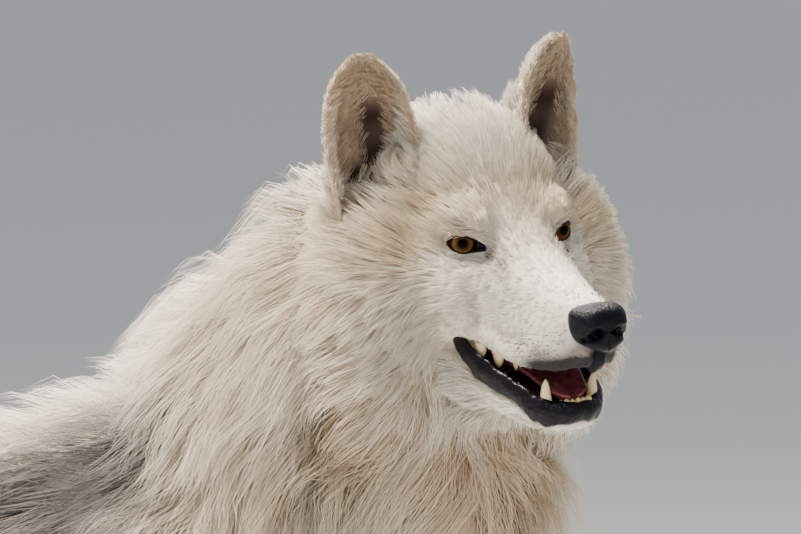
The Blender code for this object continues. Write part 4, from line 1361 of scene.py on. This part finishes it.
def ear_coat(ground, material):
    """Fuzz outside and on the rim, tan fuzz inside, and pale fluff from the inner edge over the cup."""
    count = int(EAR_LOCKS * SHARE)
    for name, side in SIDES.items():

        def on_ear(heights, turns, inset):
            return ear_to_head(ear_surface(heights, turns, inset), side)

        height = RNG.random(count) ** 0.85
        turn = RNG.uniform(-1, 1, count)
        outer, inner = on_ear(height, turn, EAR_BACK), on_ear(height, turn, EAR_FRONT)
        out = unit(outer - inner)
        rim = on_ear(height, np.sign(turn), 0.3)
        ways = (unit(np.array(way) @ ear_turn(side).T) for way in ((0, 0, 1.0), (1.0, 0, 0)))
        up, front = (np.repeat([way], count, 0) for way in ways)
        middle_line = on_ear(height, turn * 0, EAR_FRONT)
        inward = unit(middle_line - inner)
        from_rim = unit(middle_line - rim)
        canal = (np.abs(turn - EAR_CANAL[side]) < 0.20) & (height < 0.65)
        low = RNG.random(count) * 0.50 - 0.02
        medial = on_ear(low, -side * RNG.uniform(0.35, 1.0, count), 0.55)
        medial_in = unit(on_ear(low, turn * 0, EAR_FRONT) - medial)
        some = RNG.random(count)
        up_in, up_rim, up_over = (unit(up + way) for way in (0.25 * inward, 0.5 * from_rim, 0.9 * medial_in))
        batches = (
            # kind, roots, normals, lie, kept, depth, ratio, tan, grey
            (FUZZ, outer, out, up, some < 0.7, 0.30, 3.6, 0.75, 0.06),
            (FUZZ, inner, -out, up_in, ~canal, 0.46, 2.5, 1.12, 0.15),
            (FUZZ, inner, unit(front - 0.4 * out), up_in, ~canal & (some < 0.5), 0.48, 2.5, 1.30, 0.30),
            (FUZZ, rim, unit(0.4 * out + up + front), up_rim, height > 0.03, 0.45, 2.4, 0.65, 0.03),
            (FLUFF, medial, unit(medial_in + 0.6 * front), up_over, some < 0.45, 0.8, 2.6, 0.25, 0.0),
        )
        made = {}
        for kind, roots, normals, way, kept, depth, ratio, tan, grey in batches:
            n = int(kept.sum())
            values = np.zeros((n, 7))
            values[:, DEPTH], values[:, RATIO] = depth * CM, ratio
            values[:, LIE] = way[kept] @ TURN.T
            values[:, TAN_SHARE], values[:, GREY_SHARE] = tan, grey
            hairs = grow(ground, from_head(roots[kept]), normals[kept] @ TURN.T, values, kind, fixed=True)
            made.setdefault(kind, []).append(hairs)
        axis = from_head(ear_to_head(np.array([[0, 0, -1.0], [0, 0, 5.0], [0, 0, 11.0]]), side))
        for kind, title in ((FUZZ, "ear"), (FLUFF, "ear_fluff")):
            joined = {key: np.concatenate([hairs[key] for hairs in made[kind]]) for key in made[kind][0]}
            make_coat(f"coat_{title}_{name}", joined, axis, material, 0.25)


# ---------------------------------------------------------------- eyes, nose and mouth


def eye_material():
    """Amber iris with rays from the pupil, darkened at the top by painted shade of the upper lid, a black pupil and
    ring, under a wet gloss; drawn by the angle from the gaze.
    """
    made, tree, shader = shader_of("eye")
    ramp, darken = colour_ramp(tree, IRIS), added(tree, "Mix")
    darken.data_type = "RGBA"
    darken.blend_type = "MULTIPLY"
    set_inputs(darken, {"Factor": 0.55})
    link(
        tree,
        (attribute(tree, "from_gaze"), "Fac", ramp, "Fac"),
        (ramp, "Color", darken, "A"),
        (attribute(tree, "iris_rays_and_lid_shade"), "Color", darken, "B"),
        (darken, "Result", shader, "Base Color"),
    )
    set_inputs(shader, {"Roughness": 0.5, "Specular IOR Level": 0.0, "Coat Weight": 0.07, "Coat Roughness": 0.02})
    return made


IRIS = (
    # angle from the gaze (1 is 1.16 radians), colour
    (0.0, (0.0, 0.0, 0.0)),
    (0.21, (0.0, 0.0, 0.0)),
    (0.26, (0.025, 0.010, 0.003)),
    (0.36, (0.085, 0.036, 0.009)),
    (0.53, (0.155, 0.070, 0.017)),
    (0.62, (0.02, 0.008, 0.003)),
    (0.70, (0.012, 0.008, 0.006)),
    (1.0, (0.03, 0.022, 0.02)),
)
FULL_ANGLE = 1.16


def eyes(material):
    """Eyeballs with a bulge at the iris."""
    for name, side in SIDES.items():
        points, faces = ellipsoid((0, 0, 0), (1, 1, 1), 96, 64)
        points = points[:, [2, 0, 1]]  # the poles on the line of sight
        gaze = unit(np.array([1.05, side * 0.33 - 0.17, 0.03]))  # both look a little to the right
        across = unit(np.cross([0, 0, 1.0], gaze))
        axes = np.stack([gaze, across, np.cross(gaze, across)])
        angle = np.arccos(np.clip(points[:, 0] / np.linalg.norm(points, axis=1), -1, 1))
        bulge = 1 + 0.045 * np.exp(-((angle / 0.62) ** 4))
        round_gaze = np.arctan2(points[:, 2], points[:, 1])
        rays_and_lid_shade = 0.75 + 0.25 * np.sin(round_gaze * 23 + 3 * np.sin(round_gaze * 7)) * np.cos(round_gaze * 41)
        rays_and_lid_shade *= 1 - 0.6 * smoothstep(0.1, 0.75, points[:, 2] / np.sin(0.7))  # painted shade of the upper lid over the top of the iris
        world = from_head((points * bulge[:, None] * EYE_RADIUS) @ axes + EYE_CENTRE * (1, side, 1))
        obj = new_object(f"eyeball_{name}", world, faces)
        set_value(obj.data, "from_gaze", angle / FULL_ANGLE)
        set_colour(obj.data, "iris_rays_and_lid_shade", np.repeat(rays_and_lid_shade[:, None], 3, 1))
        finish_piece(obj, material, [f"eye_{name}"])


def lids(material):
    """The black rims of the lids, rolled over the eyeball, with the dark inner corner."""
    # how far out from the opening each ring is, and how far it is raised, from the eyeball to the skin
    profile = ((0.0, -0.25), (0.0, -0.06), (0.02, 0.02), (0.045, 0.04), (0.075, 0.03), (0.10, -0.02), (0.11, -0.2))
    turns = angles_round(96)
    along = -np.cos(turns) * HALF_SLIT
    upper = np.sin(turns) >= 0
    edge = lid_height(along, upper)
    for name, side in SIDES.items():
        rings = []
        for grow_by, raise_by in profile:
            out_along = along * (1 + grow_by * 0.55)
            out_up = edge + np.where(upper, 1, -1) * grow_by
            height = lid_out(out_along, out_up, side) + raise_by
            rings.append(out_of_slit(out_along, out_up, height, side))
        points = np.concatenate(rings)
        faces = [[i % len(points) for i in face] for face in grid_faces(len(rings) + 1, len(turns), True)]
        head_piece(f"eyelids_{name}", (points, faces), material)


NOSE = (
    # x, top, bottom, half width, from its back to its front
    (10.9, -2.8, -3.6, 1.2),
    (11.4, -2.40, -4.4, 1.85),
    (12.0, -2.20, -5.1, 2.12),
    (12.6, -2.10, -5.45, 2.08),
    (13.2, -2.12, -5.55, 1.90),
    (13.7, -2.32, -5.45, 1.60),
    (14.0, -2.68, -5.25, 1.22),
    (14.15, -3.10, -4.90, 0.75),
)
PHILTRUM = (
    # x, z, half width
    (11.6, -5.3, 0.95),
    (12.35, -5.5, 0.85),
    (12.50, -6.0, 0.78),
    (12.25, -6.35, 0.82),
    (11.6, -6.55, 0.95),
)


def nose(material):
    """The bare pad: broad and flat above, comma nostrils that open to the sides, a groove down the middle."""
    pad, faces = slices(NOSE, 2.7, 0.62, 140, 9)
    for side in SIDES.values():
        for spot, radius, depth in (
            ((13.95, side * 0.88, -3.95), 0.36, 0.95),
            ((13.75, side * 1.30, -4.25), 0.26, 0.60),
            ((13.35, side * 1.66, -4.50), 0.20, 0.45),
        ):
            gap = np.linalg.norm((pad - np.array(spot)) / (1.5, 1.0, 0.85), axis=1)
            dent = depth * np.exp(-((gap / radius) ** 2))
            pad = pad - dent[:, None] * unit(np.array([1.0, side * 0.55, 0.0]))
        wing = np.linalg.norm((pad - np.array([13.6, side * 1.25, -3.35])) / (1.5, 1.2, 0.5), axis=1)
        pad[:, 0] += 0.14 * np.exp(-((wing / 0.5) ** 2))
    front = smoothstep(12.9, 13.6, pad[:, 0])
    pad[:, 0] -= 0.14 * np.exp(-((pad[:, 1] / 0.11) ** 2)) * smoothstep(-3.0, -3.9, pad[:, 2]) * front
    pad[:, 1] *= 1 - 0.42 * smoothstep(-4.7, -5.6, pad[:, 2])
    head_piece("nose_pad", (pad, faces), material, ["nose"])
    rows = eased(PHILTRUM, 5)
    path = np.stack([rows[:, 0], np.zeros(len(rows)), rows[:, 1]], 1)
    strip, faces = capped(swept(path, rows[:, 2], rows[:, 2] * 0.6, 18, up=(0.0, 1.0, 0.0)))
    strip[:, 0] -= 0.07 * np.exp(-((strip[:, 1] / 0.08) ** 2)) * (strip[:, 0] > 12.4)
    head_piece("philtrum", (strip, faces), material)


def nose_material():
    """Black leather in small cells."""
    made, tree, shader = shader_of("nose")
    set_inputs(shader, {"Base Color": (0.003, 0.003, 0.005, 1), "Roughness": 0.36, "Specular IOR Level": 0.10})
    bump(tree, shader, added(tree, "TexVoronoi", {"Scale": 950.0}), "Distance", 0.7, 0.0006)
    return made


def both_sides(rows):
    """Rows (x, y, ...) that end in the middle, from the right side's first one to the left side's."""
    mirrored = rows.copy()
    mirrored[:, 1] *= -1
    return np.concatenate([mirrored, rows[:-1][::-1]])


LIP_WOBBLE = 0.42  # how uneven the lower lip's roll is


def lower_lip(material):
    """The black lip along the jaw from one corner of the mouth to the other."""
    rows = eased(both_sides(LIP_PATH), 8)
    rings = swept(rows[:, :3], rows[:, 4], rows[:, 3], 32)
    spots = rings.reshape(-1, 3)
    cloud = noise(spots, 1.6, 4) * 0.6 + noise(spots, 4.0, 6) * 0.4
    wobble = 1 + LIP_WOBBLE * (cloud.reshape(rings.shape[:2]) - 0.5)
    centre = rings.mean(1, keepdims=True)
    rings = centre + (rings - centre) * wobble[..., None]
    head_piece("lower_lip", capped(rings), material)


TONGUE = (
    # x, z, half width, half thickness, from its root to its tip
    (-4.0, -8.3, 1.9, 0.75),
    (0.0, -8.5, 2.45, 0.75),
    (3.0, -8.65, 2.5, 0.65),
    (6.0, -9.2, 2.1, 0.55),
    (8.0, -9.9, 1.6, 0.42),
    (8.9, -10.15, 1.0, 0.30),
    (9.15, -10.25, 0.4, 0.16),
)


def tongue(material):
    """Long and thin-edged, with a trough along its middle, resting between the lower teeth."""
    angles = angles_round(40)
    rings = []
    for x, z, half, thick in eased(TONGUE, 6):
        across = np.cos(angles) * half
        over = np.sin(angles) * thick
        trough = 0.34 * np.exp(-((across / (0.35 * half)) ** 2)) * (np.sin(angles) > 0)
        curl = 0.45 * (np.abs(across) / half) ** 2.5
        rings.append(np.stack([np.full(40, x), across, z + over - trough + curl], 1))
    head_piece("tongue_piece", capped(np.array(rings)), material, ["tongue"])


def tooth(base, tip, radius, flat=1.0, sides=14, rows=9, hook=0.0, blunt=1.9):
    """A tooth from its gum to its tip: (points, faces)."""
    base, tip = np.array(base, float), np.array(tip, float)
    t = np.linspace(0, 1, rows)
    path = base + (tip - base) * t[:, None]
    path[:, 0] -= hook * np.sin(t * math.pi) * 0.5
    profile = radius * (1 - t**blunt) ** 0.55 * (1 + 0.12 * np.sin(t * math.pi)) + 0.012
    return capped(swept(path, profile * flat, profile, sides, up=(1.0, 0.0, 0.0)))


# The cheek teeth: x, y, the tip's z, and the upper ones' radius.
LOWER_TEETH = ((6.7, 2.25, -9.75), (5.4, 2.5, -9.45), (3.9, 2.75, -9.1))
UPPER_TEETH = ((0.9, 3.9, -7.95, 0.5), (2.1, 3.8, -8.35, 0.66), (3.6, 3.15, -8.75, 0.70), (5.0, 2.5, -8.7, 0.40))
GUM_LINE = np.array([
    (1.0, 3.1, -9.8),
    (3.5, 2.75, -9.95),
    (6.0, 2.3, -10.35),
    (8.0, 1.95, -10.85),
    (8.9, 1.1, -11.15),
    (9.05, 0.0, -11.2),
])
GUM_RADIUS = 0.42


def teeth(material):
    """Six incisors, the canines and three cheek teeth a side below, and four cheek teeth a side above."""
    lower, upper = [], []
    for k in range(6):
        across = (k - 2.5) * 0.46
        size, back = 0.20 + 0.03 * abs(k - 2.5), 0.10 * across**2
        top = (9.35 - back, across, -10.0 + 0.05 * (k % 2))
        lower.append(tooth((9.2 - back, across, -11.0), top, size, blunt=6.0))
    for side in SIDES.values():
        lower.append(tooth((8.6, side * 1.85, -10.9), (8.46, side * 1.97, -8.50), 0.40, hook=0.35))
        for x, y, height in LOWER_TEETH:
            lower.append(tooth((x, side * y, -10.6), (x, side * y, height), 0.36, 0.6))
        for x, y, height, size in UPPER_TEETH:
            upper.append(tooth((x, side * y, -7.0), (x, side * y, height), size, 0.55, 16))
    head_piece("teeth_lower", merged(lower), material)
    head_piece("teeth_upper", merged(upper), material)


def gums(material):
    """Pink gum along the lower teeth, and inside the upper ones."""
    rows = eased(both_sides(GUM_LINE), 5)
    round_row = np.full(len(rows), GUM_RADIUS)
    forms = [capped(swept(rows, round_row, round_row, 16))]
    for side in SIDES.values():
        row = eased([(0.2, side * 3.5, -7.1), (3.0, side * 2.8, -7.4), (6.5, side * 1.9, -7.3)], 5)
        forms.append(capped(swept(row, np.full(len(row), GUM_RADIUS), np.full(len(row), 0.36), 14)))
    head_piece("gums", merged(forms), material)


def whiskers(material, skin_object):
    """Dark whiskers, each from a dark spot, in slanting rows on the muzzle and over the eyes."""
    points, triangles = points_of(skin_object.data), triangles_of(skin_object.data)
    head = to_head(points)
    normals = normals_of(points, triangles) @ TURN
    roots, ways, lengths, widths = [], [], [], []

    def plant(spot, way, length, width):
        near = np.argmin(((head - spot) ** 2).sum(1))
        roots.append(head[near] + normals[near] * 0.24)
        ways.append(unit(normals[near] * 0.55 + np.array(way)))
        lengths.append(length)
        widths.append(width)

    for side in SIDES.values():
        for row in range(5):
            for k in range(8 - row):
                back = np.array([-0.92, 0, -0.36]) * k + RNG.normal(0, 0.10, 3)
                spot = np.array([12.0 - 0.25 * row, side * 2.9, -3.95 - 0.54 * row]) + back
                way = (-1.0, side * 0.25, -0.10)
                plant(spot, way, RNG.uniform(0.20, 0.30), 0.0010)
                if k > 0:
                    plant(spot, way, RNG.uniform(0.9, 1.8) + (1.8 if RNG.random() < 0.3 else 0), 0.00028)
        for k in range(6):
            spot = np.array([9.6 + 0.35 * k, side * RNG.uniform(0.6, 1.9), -1.2]) + RNG.normal(0, 0.12, 3)
            plant(spot, (-1.0, 0.0, 0.2), RNG.uniform(0.15, 0.25), 0.0009)
        for k in range(5):
            spot = np.array([0.4 - 0.3 * k, side * (2.2 + 0.3 * k), 3.0])
            plant(spot, (-0.5, side * 0.3, 0.7), RNG.uniform(0.8, 1.8), 0.00024)
        for k in range(26):
            spot = np.array([1.3 + 0.09 * k, side * (2.7 - 0.02 * k), -0.9 - 0.03 * k]) + RNG.normal(0, 0.17, 3)
            plant(spot, (-0.9, side * 0.3, -0.1), RNG.uniform(0.15, 0.35), RNG.uniform(0.0004, 0.0009))
    roots, ways, lengths, widths = (np.array(group) for group in (roots, ways, lengths, widths))
    t = np.array([0, 0.35, 0.7, 1.0])[None, :, None]
    droop = np.array([0.0, 0.0, -0.12]) * lengths[:, None, None] * t**2
    paths = roots[:, None] + ways[:, None] * t * lengths[:, None, None] + droop
    across = unit(np.cross(ways, [0.1, 0.2, 1.0])) @ TURN.T
    colours = np.full((len(roots), 10, 3), 0.012)
    obj = tuft_mesh("whiskers", from_head(paths), across, widths, colours, RNG.random((len(roots), 2)))
    finish_piece(obj, material)


# ---------------------------------------------------------------- stage and camera


LIGHTS = (
    # name, place round the head, size, power, colour
    ("key", (-1.3, -0.7, 2.7), 0.7, 430.0, (1.0, 0.94, 0.85)),
    ("top", (-1.0, 1.1, 2.2), 1.2, 230.0, (1.0, 0.95, 0.88)),
    ("fill", (1.7, -2.7, 1.5), 0.7, 34.0, (0.97, 0.98, 1.0)),
)


def stage():
    """A plain floor under a soft sky, and three lights on the head."""
    floor = new_object("floor", [(-30, -30, 0), (30, -30, 0), (30, 30, 0), (-30, 30, 0)], [(0, 1, 2, 3)])
    made, _, shader = shader_of("floor")
    set_inputs(shader, {"Base Color": (0.62, 0.62, 0.61, 1), "Roughness": 0.8})
    wear(floor, made)
    world = bpy.data.worlds.new("studio")
    bpy.context.scene.world = world
    world.use_nodes = True
    set_inputs(world.node_tree.nodes["Background"], {"Color": (0.90, 0.95, 1.0, 1), "Strength": 0.62})
    for name, place, size, power, colour in LIGHTS:
        light = bpy.data.lights.new(name, "AREA")
        light.energy = power
        light.size = size
        light.color = colour
        obj = placed(name, light)
        obj.location = HEAD_PLACE + Vector(place)
        obj.rotation_euler = Vector(place).to_track_quat("Z", "Y").to_euler()


PICTURE_WIDTH = 801
PIXELS_PER_METRE = 1370.0
CAMERA_DISTANCE = 4.0
CAMERA_AZIMUTH, CAMERA_ELEVATION = 32, 5  # degrees, from the wolf's right side towards its front
SENSOR_WIDTH = 36.0
HEAD_OFF_CENTRE = (112.5, -32.0)  # pixels right of and below the picture's middle


def camera():
    """A camera that sees the head where the photo has it."""
    azimuth, elevation = math.radians(CAMERA_AZIMUTH), math.radians(CAMERA_ELEVATION)
    level = math.cos(elevation)
    back = Vector((math.sin(azimuth) * level, -math.cos(azimuth) * level, math.sin(elevation)))
    right = Vector((math.cos(azimuth), math.sin(azimuth), 0))
    up = back.cross(right)
    data = bpy.data.cameras.new("camera")
    data.sensor_width = SENSOR_WIDTH
    data.lens = SENSOR_WIDTH * PIXELS_PER_METRE * CAMERA_DISTANCE / PICTURE_WIDTH
    data.clip_end = 100.0
    obj = placed("camera", data)
    aim = HEAD_PLACE - right * (HEAD_OFF_CENTRE[0] / PIXELS_PER_METRE) + up * (HEAD_OFF_CENTRE[1] / PIXELS_PER_METRE)
    turn = Matrix((right, up, back)).transposed().to_4x4()
    obj.matrix_world = Matrix.Translation(aim + back * CAMERA_DISTANCE) @ turn
    bpy.context.scene.camera = obj


# ---------------------------------------------------------------- everything

camera()
stage()
wolf_skin, outside = skin()
paint_skin(wolf_skin)
finish_piece(wolf_skin, skin_material(), FLESH)
plain = {name: plain_material(name, *values) for name, values in PLAIN_LOOKS.items()}
nose(nose_material())
eyes(eye_material())
lids(plain["black_skin"])
lower_lip(plain["black_skin"])
tongue(plain["tongue"])
gums(plain["gums"])
teeth(plain["teeth"])
whiskers(coat_material("whiskers", 0.5), wolf_skin)
for node_name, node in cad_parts.items():
    if node_name.startswith("claw"):
        wear(node, plain["claw"])
coat(wolf_skin, outside)
